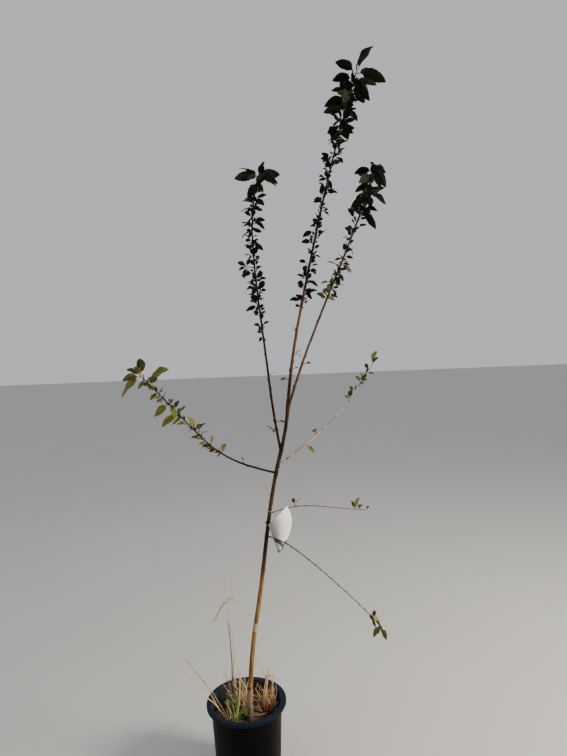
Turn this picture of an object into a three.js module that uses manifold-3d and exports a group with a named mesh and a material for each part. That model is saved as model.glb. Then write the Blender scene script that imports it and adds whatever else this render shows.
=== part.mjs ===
// A young apple tree in a black nursery pot, with its root ball, its tag and the dry grass that
// has come up in the pot. Millimetres, +Z up. The origin is under the middle of the pot, on the
// surface that it stands on. The tree leans towards +X.

import * as THREE from 'three';
import { mergeVertices } from 'three/addons/utils/BufferGeometryUtils.js';
import Module from 'manifold-3d';

const wasm = await Module();
wasm.setup();

const { cos, sin, exp, PI, max, min, floor, hypot } = Math;
const { degToRad, lerp, clamp } = THREE.MathUtils;
const vec = (x, y, z) => new THREE.Vector3(x, y, z);
const UP = vec(0, 0, 1);
const DEPTH = vec(0, 1, 0);

// Between a piece and the one that carries it
const GAP = 0.3;

const POT = {
  height: 270, rim: 140, mouth: 122, neck: 124.6, foot: 111, wall: 2.2, floor: 3,
  skirt: 11, edge: 1.6, turns: 36,
  drains: { count: 6, radius: 8, height: 15 },
};

const SOIL = { level: 222, bumps: 2.6, flat: 24, fade: 22 };

// A limb is walked from its foot to its tip in equal steps. lean is its angle from upright towards
// +X and back its angle towards +Y, in degrees at even stations. on and at are the limb that
// carries it and how far along that limb it starts. leafy is how far along its leaves begin.
const STEPS = 60;
const LIMBS = {
  trunk: {
    foot: [14, -40], length: 1124, lean: [1, 6, 11, 8, 10, 16, 4], back: [2],
    radii: [8.4, 5.8], sides: 10, rings: 16,
  },
  centre_leader: {
    on: 'trunk', at: 1, length: 1127, lean: [7, 13, 14, 16, 19], back: [2],
    radii: [5.6, 2.0], sides: 6, rings: 24, leafy: 0.27,
  },
  left_leader: {
    on: 'trunk', at: 0.834, length: 970, lean: [-10, -5, -6, -2, 15], back: [6],
    radii: [4.6, 2.1], sides: 6, rings: 22, leafy: 0.4,
  },
  right_leader: {
    on: 'trunk', at: 0.958, length: 849, lean: [17, 22, 24, 23, 17], back: [-6],
    radii: [4.7, 2.1], sides: 6, rings: 20, leafy: 0.46, beside: ['centre_leader'],
  },
  left_side_bough: {
    on: 'trunk', at: 0.767, length: 571, lean: [-73, -69, -55, -41, -39, -40, -41], back: [-10],
    radii: [3.7, 1.2], sides: 6, rings: 22, leafy: 0.33,
  },
  right_side_bough: {
    on: 'trunk', at: 0.789, length: 500, lean: [58, 54, 40, 36], back: [14],
    radii: [3.5, 1.1], sides: 6, rings: 18, leafy: 0.66,
  },
  low_twig: {
    on: 'trunk', at: 0.64, length: 354, lean: [72, 101, 99], back: [11],
    radii: [1.7, 0.9], sides: 5, rings: 12, leafy: 0.78,
  },
  drooping_twig: {
    on: 'trunk', at: 0.57, length: 518, lean: [83, 112, 119, 121, 129], back: [-45],
    radii: [1.9, 0.9], sides: 5, rings: 16, leafy: 0.86,
  },
};

// The trunk widens at the soil, and is swollen where the tree was grafted and at its forks
const FLARE = { extra: 3.2, depth: 20, sunk: 6 };
const SWELLINGS = [
  { at: 0.085, extra: 1.3, width: 0.018 },
  { at: 0.767, extra: 1.1, width: 0.012 },
  { at: 0.792, extra: 0.9, width: 0.01 },
  { at: 0.834, extra: 1.2, width: 0.016 },
  { at: 0.975, extra: 1.4, width: 0.022 },
];
// Cut stubs and old buds on the trunk
const KNOBS = [
  { at: 0.084, turn: 265, radius: 4.2, reach: 2.6 },
  { at: 0.612, turn: 176, radius: 3.2, reach: 4.4 },
  { at: 0.355, turn: 20, radius: 2.6, reach: 1.8 },
  { at: 0.47, turn: 205, radius: 2.4, reach: 1.6 },
];

// A leaf's edge past its stalk, as shares of its length and half width, and its other sizes as
// shares of its length
const EDGE = [[0.28, 1], [0.66, 0.84], [1, 0], [0.66, -0.84], [0.28, -1]];
const SMALL_EDGE = [[0.4, 1.06], [1, 0], [0.4, -1.06]];
const LEAF = { slim: 0.25, fold: 0.07, thick: 0.013, middle: 0.46, stalk: 0.25, droop: 0.2, small: 44 };
const STALK_RADIUS = 0.85;
const SPUR = { radius: 1.5, rise: 35 };

// Leaves grow from short spurs that turn round their limb. Each stretch has its own step between
// spurs, most leaves on a spur, leaf length and spur length. placed gives the leaves that stand
// out: how far along, turn round the limb, rise from square to it, length, and roll about the rib.
const FOLIAGE = {
  centre_foliage: {
    limb: 'centre_leader',
    placed: [
      [1, -34, 78, 98, -40], [1, -158, 9, 73, -30], [1, -7, 8, 81, 40], [0.983, 165, -2, 64, -40],
      [0.983, -10, 7, 61, 105], [0.967, -5, -22, 58, 60], [0.967, 27, -22, 52, 50],
      [0.967, -122, -65, 67, 70], [0.95, 180, -9, 56, -120], [0.917, 169, -15, 67, -50],
      [0.883, 180, -8, 61, -45], [0.784, -165, 54, 57, -52], [0.941, -118, 21, 48, 5],
      [0.954, 47, 53, 54, -64], [0.813, -51, 21, 54, 49], [0.865, -4, 57, 48, -50],
    ],
    stretches: [
      { to: 0.36, step: 22, tuft: 3, leaf: 30, spur: 9, seed: 376 },
      { to: 0.44, step: 22, tuft: 3, leaf: 28, spur: 9, seed: 340 },
      { to: 0.52, step: 26, tuft: 2, leaf: 30, spur: 9, seed: 887 },
      { to: 0.60, step: 26, tuft: 2, leaf: 30, spur: 9, seed: 357 },
      { to: 0.67, step: 18, tuft: 3, leaf: 32, spur: 10, seed: 367 },
      { to: 0.74, step: 15, tuft: 3, leaf: 32, spur: 9, seed: 1177 },
      { to: 0.82, step: 15, tuft: 3, leaf: 36, spur: 9, seed: 2692 },
      { to: 0.90, step: 15, tuft: 3, leaf: 44, spur: 8, seed: 2300 },
      { to: 0.96, step: 16, tuft: 2, leaf: 50, spur: 6, seed: 1356 },
    ],
  },
  left_foliage: {
    limb: 'left_leader',
    placed: [
      [1, -58, 74, 56, -60], [1, 20, 37, 72, 90], [0.96, -30, 70, 56, 65], [1, -20, -4, 62, -60],
      [0.983, 5, -44, 31, -90], [1, -173, -8, 68, -80], [1, -171, 19, 64, 10],
      [0.983, 171, -67, 49, -90],
    ],
    stretches: [
      { to: 0.52, step: 26, tuft: 2, leaf: 32, spur: 10, seed: 2600 },
      { to: 0.62, step: 19, tuft: 3, leaf: 32, spur: 10, seed: 1010 },
      { to: 0.71, step: 18, tuft: 3, leaf: 29, spur: 9, seed: 1124 },
      { to: 0.80, step: 17, tuft: 3, leaf: 29, spur: 9, seed: 1905 },
      { to: 0.88, step: 15, tuft: 3, leaf: 32, spur: 9, seed: 187 },
      { to: 0.95, step: 14, tuft: 3, leaf: 36, spur: 7, seed: 1212 },
    ],
  },
  right_foliage: {
    limb: 'right_leader',
    placed: [
      [1, 176, 34, 20, 70], [1, 26, 23, 27, -80], [1, -17, -10, 31, -90], [1, 1, -41, 51, 70],
      [0.983, -38, -44, 44, -60], [0.983, 173, -9, 51, -40], [0.967, -138, -27, 51, -80],
      [0.933, 171, -32, 40, -60], [0.833, -4, -26, 53, 40], [0.887, 115, -26, 69, -6],
      [0.954, 87, -53, 69, 3], [0.908, -26, -14, 56, -34], [0.887, 72, -1, 63, 0],
    ],
    stretches: [
      { to: 0.54, step: 20, tuft: 3, leaf: 34, spur: 9, seed: 1405 },
      { to: 0.64, step: 20, tuft: 3, leaf: 32, spur: 9, seed: 286 },
      { to: 0.73, step: 20, tuft: 2, leaf: 28, spur: 8, seed: 740 },
      { to: 0.81, step: 15, tuft: 3, leaf: 34, spur: 10, seed: 300 },
      { to: 0.89, step: 13, tuft: 3, leaf: 40, spur: 9, seed: 2539 },
      { to: 0.96, step: 13, tuft: 3, leaf: 42, spur: 8, seed: 2756 },
    ],
  },
  left_side_foliage: {
    limb: 'left_side_bough',
    placed: [
      [1, -2, 48, 59, 20], [1, 141, 74, 47, -40], [1, 153, 53, 56, -20], [1, 164, 4, 75, 50],
      [0.95, -9, 0, 78, -40], [0.967, -156, 2, 26, 40], [0.867, 158, 7, 29, -45],
      [0.783, 168, 5, 50, 50], [0.783, 166, -20, 44, -12], [0.767, -107, -55, 33, -30],
      [0.7, -171, 14, 50, 60], [0.667, -165, 18, 30, -55], [0.733, 25, 24, 34, -20],
      [0.7, -11, 11, 39, 22], [0.567, 61, 54, 52, -15], [0.55, -11, 11, 45, 15],
      [0.933, -21, 2, 35, 25], [0.483, 177, 70, 40, -50], [0.433, 25, 23, 34, 90],
      [0.35, -13, 21, 40, 20],
    ],
    stretches: [
      { to: 0.8, step: 50, tuft: 2, leaf: 22, spur: 7, seed: 5 },
      { to: 0.95, step: 22, tuft: 2, leaf: 24, spur: 9, seed: 3 },
    ],
  },
  right_side_foliage: {
    limb: 'right_side_bough',
    placed: [
      [1, -144, 67, 55, 42], [1, -91, 58, 34, -28], [0.85, 156, 30, 30, 30],
      [0.85, -107, 52, 31, 25], [0.7, -139, 51, 34, 70], [0.7, 153, 11, 21, 30],
    ],
    stretches: [],
  },
  low_twig_foliage: {
    limb: 'low_twig',
    placed: [
      [1, -177, 17, 17, 70], [0.883, -179, 6, 43, 45], [0.867, 156, -16, 31, -15],
      [0.917, -156, 13, 27, 30],
    ],
    stretches: [],
  },
  drooping_twig_foliage: {
    limb: 'drooping_twig',
    placed: [[1, 52, 38, 27, 75], [0.983, -7, 10, 26, 45], [0.933, -170, -22, 22, -50]],
    stretches: [],
  },
};

// From where a limb's leaves begin to its first spur, and how near the middles of two leaves may
// be, as a share of both their lengths, for placed leaves and those on spurs
const FIRST_SPUR = 6;
const CROWDED = { placed: 0.18, spur: 0.32 };

// Single spurs with a few leaves on the bare part of a limb
const TUFT_SPUR = 7;
const TUFT_REACH = 0.04;
const TUFTS = [
  { limb: 'centre_leader', at: 0.05, turn: 180, leaves: 1, leaf: 22, seed: 2 },
  { limb: 'centre_leader', at: 0.085, turn: 10, leaves: 1, leaf: 20, seed: 4 },
  { limb: 'centre_leader', at: 0.13, turn: -15, leaves: 2, leaf: 26, seed: 5 },
  { limb: 'centre_leader', at: 0.2, turn: 150, leaves: 1, leaf: 22, seed: 7 },
  { limb: 'left_leader', at: 0.075, turn: 175, leaves: 3, leaf: 30, seed: 8 },
  { limb: 'left_leader', at: 0.1, turn: -10, leaves: 2, leaf: 24, seed: 10 },
  { limb: 'left_leader', at: 0.27, turn: 30, leaves: 1, leaf: 24, seed: 12 },
  { limb: 'right_leader', at: 0.2, turn: 0, leaves: 1, leaf: 16, seed: 13 },
  { limb: 'left_side_bough', at: 0.2, turn: 10, leaves: 1, leaf: 20, seed: 14 },
  { limb: 'right_side_bough', at: 0.34, turn: 180, leaves: 2, leaf: 28, seed: 15 },
  { limb: 'low_twig', at: 0.25, turn: 180, leaves: 2, leaf: 24, seed: 17 },
];

// The tag hangs by a thread in front of the trunk. Its corners are where its edges meet, across
// and up; it bows out towards its right edge and towards the front.
const TAG = {
  top: [168, 964], left: [103, 903], foot: [137, 799], footWidth: 9,
  bow: 25, bulge: 19, face: -31, drop: 15, thick: 0.6, columns: 6, rows: 8,
};
const THREAD = { at: 0.648, radius: 0.8, clear: 0.4, hole: 0.5 };

// Clumps of dry grass: straws grow out of a low crown of old stubble. culms gives the long straws,
// stems and bent blades, each by the points that it passes through.
const CLUMPS = {
  dry_grass_left: {
    foot: [-30, 34], radius: 26, height: 9, straws: 6, length: [60, 170], lean: [-14, 12], seed: 21,
    culms: [
      [[-44, 40, 222], [-46, 42, 310], [-40, 48, 446], [-50, 48, 517], [-60, 48, 602], [-64, 48, 704]],
      [[-60, 48, 602], [-55, 48, 616], [-40, 48, 616], [-27, 48, 600]],
      [[-60, 48, 596], [-69, 48, 602], [-112, 48, 527]],
      [[-53, 38, 222], [-50, 42, 380], [-53, 42, 472], [-58, 42, 531]],
      [[-12, 30, 222], [1, 26, 288], [-24, 26, 337], [-26, 26, 399]],
      [[-30, 30, 222], [-37, 30, 283], [-40, 30, 324], [-32, 30, 352], [-18, 30, 358]],
    ],
  },
  dry_grass_right: {
    foot: [76, 22], radius: 24, height: 8, straws: 5, length: [50, 140], lean: [-26, 14], seed: 34,
    culms: [
      [[76, 20, 222], [71, 26, 329], [37, 26, 426], [19, 26, 470], [-6, 26, 543], [-9, 26, 553],
        [-4, 26, 558], [34, 26, 565], [120, 26, 579], [202, 26, 592], [255, 26, 601]],
      [[60, 24, 222], [60, 24, 280], [73, 24, 338], [83, 24, 359]],
      [[86, 34, 222], [94, 34, 309], [96, 34, 360]],
      [[94, 28, 222], [95, 30, 304], [75, 30, 353]],
    ],
  },
  dry_grass_front: {
    foot: [-56, -44], radius: 26, height: 7, straws: 4, length: [30, 80], lean: [-50, 20], seed: 13,
    culms: [
      [[-65, -36, 222], [-110, -24, 276], [-177, -15, 322], [-221, -10, 373]],
      [[-61, -32, 222], [-119, -10, 311], [-168, -10, 378], [-197, -10, 423]],
      [[-74, -34, 222], [-142, -10, 338], [-207, -10, 434]],
      [[-34, -54, 222], [-19, -50, 300], [-16, -50, 382]],
    ],
  },
};
const STRAW = { radii: [1.6, 0.8], sides: 3, rings: 3 };
const WEEDS = { foot: [-46, -2], radius: 14, height: 6, leaves: 7, leaf: 30, seed: 41 };

// Numbers between 0 and 1 that follow from a seed, drawn in order
class Chance {
  constructor(seed) {
    this.state = seed;
  }
  next() {
    this.state = (this.state * 16807) % 2147483647;
    return this.state / 2147483647;
  }
  between(low, high) {
    return low + (high - low) * this.next();
  }
}

// The value at a share of the way through a list of even stations
function station(list, share) {
  const x = clamp(share, 0, 1) * (list.length - 1);
  const i = min(floor(x), max(list.length - 2, 0));
  return list.length === 1 ? list[0] : lerp(list[i], list[i + 1], x - i);
}

function direction(lean, back) {
  const [a, b] = [degToRad(lean), degToRad(back)];
  return vec(sin(a) * cos(b), sin(b), cos(a) * cos(b));
}

// The points of a walk in equal steps, and the direction of each step
function walk(foot, length, lean, back, steps) {
  const points = [foot.clone()];
  const ways = [];
  for (let i = 0; i < steps; i += 1) {
    const share = (i + 0.5) / steps;
    ways.push(direction(station(lean, share), station(back, share)));
    points.push(points[i].clone().addScaledVector(ways[i], length / steps));
  }
  return { points, ways };
}

class Limb {
  constructor(name, size, foot) {
    Object.assign(this, size, { name }, walk(foot, size.length, size.lean, size.back, STEPS));
  }
  point(share) {
    const x = clamp(share, 0, 1) * STEPS;
    const i = min(floor(x), STEPS - 1);
    return this.points[i].clone().lerp(this.points[i + 1], x - i);
  }
  radius(share) {
    return lerp(this.radii[0], this.radii[1], share);
  }
  // A direction from the limb: turn goes round it from +X, rise is from square to it to its tip
  way(share, turn, rise) {
    const along = this.ways[min(floor(clamp(share, 0, 1) * STEPS), STEPS - 1)];
    const across = DEPTH.clone().cross(along).normalize();
    const [a, r] = [degToRad(turn), degToRad(rise)];
    const other = along.clone().cross(across);
    const out = across.clone().multiplyScalar(cos(a)).addScaledVector(other, sin(a));
    return out.multiplyScalar(cos(r)).addScaledVector(along, sin(r));
  }
  distance(point, from = 0, to = 1) {
    const line = new THREE.Line3();
    const near = vec(0, 0, 0);
    let best = Infinity;
    for (let i = floor(from * STEPS); i < to * STEPS; i += 1) {
      line.set(this.points[i], this.points[i + 1]).closestPointToPoint(point, true, near);
      best = min(best, near.distanceTo(point) - this.radius(i / STEPS));
    }
    return best;
  }
}

function solid(geometry) {
  geometry.deleteAttribute('normal');
  geometry.deleteAttribute('uv');
  const shape = mergeVertices(geometry, 1e-4);
  const vertProperties = Float32Array.from(shape.attributes.position.array);
  return new wasm.Manifold(new wasm.Mesh({
    numProp: 3, vertProperties, triVerts: Uint32Array.from(shape.index.array),
  }));
}

const joined = (pieces) => pieces.reduce((whole, piece) => whole.add(piece));

// The largest body: loose scrap and sealed hollows are dropped
function whole(shape) {
  return shape.decompose().reduce((big, part) => (part.volume() > big.volume() ? part : big));
}

// A tube with a ring of the given radius at each point, closed at both ends
function rod(points, radii, sides) {
  const rings = points.length - 1;
  const shape = new THREE.CylinderGeometry(1, 1, rings, sides, rings);
  const place = shape.attributes.position;
  const overall = points[rings].clone().sub(points[0]).normalize();
  const guide = Math.abs(overall.y) > 0.92 ? UP : DEPTH;
  const frames = points.map((point, i) => {
    const along = points[min(i + 1, rings)].clone().sub(points[max(i - 1, 0)]).normalize();
    const across = guide.clone().cross(along).normalize();
    return { across, other: across.clone().cross(along) };
  });
  for (let i = 0; i < place.count; i += 1) {
    const k = Math.round(place.getY(i) + rings / 2);
    const at = points[k].clone()
      .addScaledVector(frames[k].across, place.getX(i) * radii[k])
      .addScaledVector(frames[k].other, place.getZ(i) * radii[k]);
    place.setXYZ(i, at.x, at.y, at.z);
  }
  return solid(shape);
}

// The stretch of a limb between two shares of its length, made larger all round by extra
function limbSolid(limb, from, to, extra = 0, ends = 0) {
  const rings = max(2, Math.round(limb.rings * (to - from)));
  const points = [];
  const radii = [];
  for (let i = 0; i <= rings; i += 1) {
    const share = lerp(from, to, i / rings);
    points.push(limb.point(share));
    radii.push(limb.radius(share) + extra);
  }
  const [first, last] = [limb.way(from, 0, -90), limb.way(to, 0, 90)];
  points[0].addScaledVector(first, ends);
  points[rings].addScaledVector(last, ends);
  return rod(points, radii, limb.sides);
}

function turned(profile, turns) {
  const points = profile.map(([x, y]) => new THREE.Vector2(x, y));
  return new THREE.LatheGeometry(points, turns).rotateX(PI / 2);
}

// The pot: a tapering wall, a rolled rim with a skirt that hangs clear of the wall, drain holes
function pot() {
  const { height, rim, mouth, neck, foot, wall, skirt, edge, turns, drains } = POT;
  const base = POT.floor;
  const under = height - wall;
  const shape = solid(turned([
    [0, 0], [foot - 3, 0], [foot, 3], [neck, under], [rim - wall, under],
    [rim - wall, height - skirt], [rim, height - skirt], [rim, height - edge],
    [rim - edge, height], [mouth + edge, height], [mouth, height - edge],
    [neck - wall, under - 6], [foot - wall, base + 5], [foot - wall - 5, base], [0, base],
  ], turns));
  let cut = shape;
  for (let i = 0; i < drains.count; i += 1) {
    const hole = new THREE.CylinderGeometry(drains.radius, drains.radius, 24, 10);
    hole.rotateZ(PI / 2).translate(foot, 0, drains.height).rotateZ(((i + 0.5) / drains.count) * 2 * PI);
    cut = cut.subtract(solid(hole));
  }
  return cut;
}

function soilHeight(x, y) {
  const { level, bumps, flat, fade } = SOIL;
  const [footX, footY] = LIMBS.trunk.foot;
  const near = clamp((hypot(x - footX, y - footY) - flat) / fade, 0, 1);
  return level + near * bumps * (sin(x / 13 + 1) * cos(y / 11) + 0.5 * sin(x / 6 - y / 8));
}

// The root ball fills the pot to its soil level, with an uneven top that is flat round the trunk
function rootBall(rise = 0) {
  const { foot, wall, neck, turns } = POT;
  const base = POT.floor;
  const side = (z) => lerp(foot, neck, z / POT.height) - wall - GAP;
  const profile = [[0, base + GAP], [side(0) - 5.5, base + GAP], [side(0), base + 5.5 + GAP],
    [side(SOIL.level), SOIL.level]];
  for (let share = 0.86; share > 0.1; share -= 0.2) {
    profile.push([side(SOIL.level) * share, SOIL.level]);
  }
  const shape = turned([...profile, [0, SOIL.level]], turns);
  const place = shape.attributes.position;
  for (let i = 0; i < place.count; i += 1) {
    if (place.getZ(i) > SOIL.level - 1) {
      place.setZ(i, soilHeight(place.getX(i), place.getY(i)) + rise);
    }
  }
  return solid(shape);
}

// The trunk without its knobs, made larger all round by extra. It has rings to each side of every
// swelling, and reaches below the soil.
function trunkBody(limb, extra = 0) {
  const shares = SWELLINGS.flatMap(({ at, width }) => [at - 1.3 * width, at, at + 1.3 * width]);
  for (let i = 0; i <= limb.rings; i += 1) {
    shares.push((i / limb.rings) ** 1.25);
  }
  const even = shares.filter((share) => share <= 1).sort((a, b) => a - b)
    .filter((share, i, list) => share === 1 || (list[i + 1] - share) * limb.length > 3);
  const radii = even.map((share) => {
    const swollen = SWELLINGS.map(({ at, extra: more, width }) =>
      more * exp(-(((share - at) / width) ** 2)));
    const flare = FLARE.extra * exp((-share * limb.length) / FLARE.depth);
    return swollen.reduce((sum, more) => sum + more, limb.radius(share) + flare + extra);
  });
  const points = even.map((share) => limb.point(share));
  points[points.length - 1].addScaledVector(limb.way(1, 0, 90), extra);
  points.unshift(points[0].clone().addScaledVector(UP, -FLARE.sunk));
  return rod(points, [radii[0], ...radii], limb.sides);
}

// The trunk, from a flat cut at the soil to its last fork, with its flare, swellings and knobs
function trunk(limb, soil) {
  const knobs = KNOBS.map(({ at, turn, radius, reach }) => {
    const out = limb.way(at, turn, 20);
    const end = limb.point(at).addScaledVector(out, limb.radius(at) + reach);
    return rod([limb.point(at), end], [radius, radius * 0.7], 7);
  });
  return joined([trunkBody(limb), ...knobs]).subtract(soil);
}

class Leaf {
  constructor(start, along, length, roll) {
    this.start = start;
    this.along = along;
    this.length = length;
    let side = along.clone().cross(UP);
    side = side.lengthSq() < 1e-4 ? DEPTH.clone() : side.normalize();
    const angle = degToRad(roll);
    this.side = side.clone().multiplyScalar(cos(angle))
      .addScaledVector(side.clone().cross(along), sin(angle));
    this.face = this.side.clone().cross(along);
    this.base = start.clone().addScaledVector(along, LEAF.stalk * length);
    this.outline = length < LEAF.small ? SMALL_EDGE : EDGE;
  }
  // A point of the blade, a of its length along, b half widths across and c of its length up
  at(a, b, c = 0) {
    const { length } = this;
    return this.base.clone().addScaledVector(this.along, length * a)
      .addScaledVector(this.side, length * LEAF.slim * b)
      .addScaledVector(this.face, length * (c + LEAF.fold * Math.abs(b)))
      .addScaledVector(UP, -length * LEAF.droop * a * a);
  }
  edge() {
    return this.outline.map(([a, b]) => this.at(a, b));
  }
  // The three corners of the stalk's section
  section(at, radius) {
    return [[-1, 0.5], [1, 0.5], [0, -1]].map(([across, up]) => at.clone()
      .addScaledVector(this.side, across * radius).addScaledVector(this.face, up * radius));
  }
  // A three-sided bar, the spur where the leaf ends one and then the stalk, which opens into the
  // blade at its two upper corners
  solid() {
    const rings = [this.section(this.start, STALK_RADIUS), this.section(this.base, STALK_RADIUS)];
    if (this.foot) rings.unshift(this.section(this.foot, SPUR.radius));
    const faces = [0, 2, 1];
    const last = 3 * (rings.length - 1);
    for (let ring = 0; ring < last; ring += 3) {
      for (let k = 0; k < 3; k += 1) {
        const [a, b] = [ring + k, ring + ((k + 1) % 3)];
        faces.push(a, b, b + 3, a, b + 3, a + 3);
      }
    }
    const edge = this.edge();
    const [left, right, under] = [last, last + 1, last + 2];
    const top = last + 3 + edge.length;
    const bottom = top + 1;
    const around = [right, ...edge.map((corner, i) => last + 3 + i), left];
    for (let i = 0; i < around.length - 1; i += 1) {
      faces.push(around[i], around[i + 1], top, around[i + 1], around[i], bottom);
    }
    faces.push(left, right, top, right, under, bottom, under, left, bottom);
    const corners = [...rings.flat(), ...edge, this.at(LEAF.middle, 0, LEAF.thick),
      this.at(LEAF.middle, 0, -LEAF.thick)];
    const leaf = new THREE.BufferGeometry();
    leaf.setAttribute('position', new THREE.Float32BufferAttribute(corners.flatMap((p) => [...p]), 3));
    leaf.setIndex(faces);
    return solid(leaf);
  }
}

// One spur and the leaves that spread from its end. The first leaf carries the spur.
function grow(limb, share, turn, count, spur, leaf, chance) {
  const foot = limb.point(share);
  const end = foot.clone().addScaledVector(limb.way(share, turn, SPUR.rise), limb.radius(share) + spur);
  const leaves = [];
  for (let k = 0; k < count; k += 1) {
    const side = turn + (k - (count - 1) / 2) * 60 + chance.between(-20, 20);
    const rise = chance.between(-25, 60);
    const length = leaf * chance.between(0.6, 1.25);
    leaves.push(new Leaf(end, limb.way(share, side, rise), length, chance.between(-65, 65)));
  }
  return { foot, leaves };
}

// The spurs of one stretch of a limb, drawn in order from the stretch's seed
function stretchSpurs(limb, start, { to, step, tuft, leaf, spur, seed }) {
  const chance = new Chance(seed);
  const spurs = [];
  let turn = 0;
  let share = start;
  while (share < to) {
    turn += 137.5 + chance.between(-30, 30);
    const count = 1 + floor(tuft * chance.next());
    spurs.push(grow(limb, share, turn, count, spur * chance.between(0.3, 1.2), leaf, chance));
    share += (step * chance.between(0.6, 1.4)) / limb.length;
  }
  return spurs;
}

// The solids of a spur's leaves that keep to their space
function spurSolids({ foot, leaves }, keep = () => true) {
  const kept = leaves.filter(keep);
  if (kept.length > 0) kept[0].foot = foot;
  return kept.map((leaf) => leaf.solid());
}

// A leaf keeps to the space that is nearer to its own limb than to any other, and off the bare
// part of its own limb
function keepsToItsSpace(leaf, limb, limbs) {
  return [...leaf.edge(), leaf.base].every((point) => {
    const own = max(limb.distance(point, limb.leafy, 1), 2);
    return limb.distance(point, 0, limb.leafy) > 2
      && limbs.every((other) => other === limb || other.distance(point) > own + 3);
  });
}

const crowded = (leaf, others, share) => others.some((other) => (
  leaf.at(0.5, 0).distanceTo(other.at(0.5, 0)) < share * (leaf.length + other.length)));

// A mass of foliage: the leafy end of a limb with its leaves fused on. The placed leaves come
// first, and one that would lie against another is left out.
function foliage(mass, limbs) {
  const limb = limbs[mass.limb];
  const kept = [];
  const keep = (share) => (leaf) => {
    const fits = keepsToItsSpace(leaf, limb, Object.values(limbs)) && !crowded(leaf, kept, share);
    if (fits) kept.push(leaf);
    return fits;
  };
  const pieces = [limbSolid(limb, limb.leafy + GAP / limb.length, 1)];
  mass.placed.forEach(([share, turn, rise, length, roll]) => {
    const leaf = new Leaf(limb.point(share), limb.way(share, turn, rise), length, roll);
    if (keep(CROWDED.placed)(leaf)) pieces.push(leaf.solid());
  });
  let from = limb.leafy + FIRST_SPUR / limb.length;
  mass.stretches.forEach((stretch) => {
    stretchSpurs(limb, from, stretch).forEach((spur) => {
      pieces.push(...spurSolids(spur, keep(CROWDED.spur)));
    });
    from = stretch.to;
  });
  return whole(joined(pieces));
}

// A single spur with its leaves, cut clear of the limb that it stands on
function tuft({ limb: name, at, turn, leaves, leaf, seed }, limbs) {
  const limb = limbs[name];
  const spur = grow(limb, at, turn, leaves, TUFT_SPUR, leaf, new Chance(seed));
  const limbCut = limbSolid(limb, at - TUFT_REACH, at + TUFT_REACH, GAP);
  return whole(joined(spurSolids(spur)).subtract(limbCut));
}

// A bare limb from the one that carries it to where its leaves begin
function bareLimb(limb, limbs) {
  let shape = limbSolid(limb, 0, limb.leafy).subtract(trunkBody(limbs.trunk, GAP));
  (limb.beside ?? []).forEach((name) => {
    shape = shape.subtract(limbSolid(limbs[name], 0, 1, GAP, GAP));
  });
  return whole(shape);
}

// The tag: a curled sheet of even thickness, drawn to a narrow foot
function tagPoint(across, down) {
  const { top, left, foot, footWidth, bow, bulge, face, drop } = TAG;
  const swell = sin(PI * down ** 0.8) * bow * across ** 1.5;
  const leftEdge = lerp(left[0], foot[0] - footWidth / 2, down);
  const rightEdge = lerp(top[0], foot[0] + footWidth / 2, down);
  const x = lerp(leftEdge, rightEdge, across);
  const z = lerp(lerp(left[1], foot[1], down), lerp(top[1], foot[1], down), across);
  const y = face + drop * down - bulge * sin(PI * (0.08 + 0.84 * across)) * (1 - 0.6 * down);
  return vec(x + swell, y, z);
}

function tag() {
  const { columns, rows, thick } = TAG;
  const sheet = new THREE.BoxGeometry(1, 1, 1, columns, 1, rows);
  const place = sheet.attributes.position;
  for (let i = 0; i < place.count; i += 1) {
    const point = tagPoint(place.getX(i) + 0.5, 0.5 - place.getZ(i));
    place.setXYZ(i, point.x, point.y + place.getY(i) * thick, point.z);
  }
  return solid(sheet);
}

// The thread: a loop round the trunk, and a strand from it to the tag's upper edge
function thread(limb) {
  const { at, radius, clear, hole } = THREAD;
  const loopRadius = limb.radius(at) + radius + clear;
  const loop = new THREE.TorusGeometry(loopRadius, radius, 5, 14);
  const along = limb.way(at, 0, 90);
  loop.applyQuaternion(new THREE.Quaternion().setFromUnitVectors(UP, along));
  const middle = limb.point(at);
  loop.translate(middle.x, middle.y, middle.z);
  const start = middle.clone().add(vec(loopRadius * 0.6, -loopRadius * 0.8, 0));
  const end = tagPoint(hole, 0).add(vec(-0.4, 0, 1.2));
  const sag = start.clone().lerp(end, 0.5).add(vec(0, -3, -1));
  return solid(loop).add(rod([start, sag, end], [radius, radius, radius], 6));
}

// A straw tapers along its points
function straw(points) {
  const last = points.length - 1;
  const radii = points.map((point, i) => lerp(STRAW.radii[0], STRAW.radii[1], i / last));
  return rod(points, radii, STRAW.sides);
}

function lowCrown(foot, radius, height) {
  const crown = new THREE.SphereGeometry(1, 10, 5).scale(radius, radius * 0.85, height);
  return solid(crown.translate(foot.x, foot.y, foot.z));
}

// A clump of straws with their feet in its crown. The short ones lean and bend over as drawn.
function clump({ foot, radius, height, straws, length, lean, seed, culms }, soil, clearOf) {
  const chance = new Chance(seed);
  const middle = vec(foot[0], foot[1], SOIL.level);
  const pieces = [lowCrown(middle, radius, height)];
  for (let i = 0; i < straws; i += 1) {
    const [turn, out] = [chance.between(0, 2 * PI), radius * 0.8 * chance.next() ** 0.5];
    const start = middle.clone().add(vec(out * cos(turn), out * sin(turn) * 0.85, 0));
    const slope = chance.between(lean[0], lean[1]);
    const [size, back] = [chance.between(length[0], length[1]), chance.between(-24, 20)];
    const bend = chance.between(-22, 22);
    const leans = [slope, slope + bend * 0.35, slope + bend];
    pieces.push(straw(walk(start, size, leans, [back], STRAW.rings).points));
  }
  culms.forEach((points) => {
    pieces.push(straw(points.map((point) => vec(...point))));
  });
  let shape = joined(pieces).subtract(soil);
  clearOf.forEach((other) => {
    shape = shape.subtract(other);
  });
  return whole(shape);
}

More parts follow.
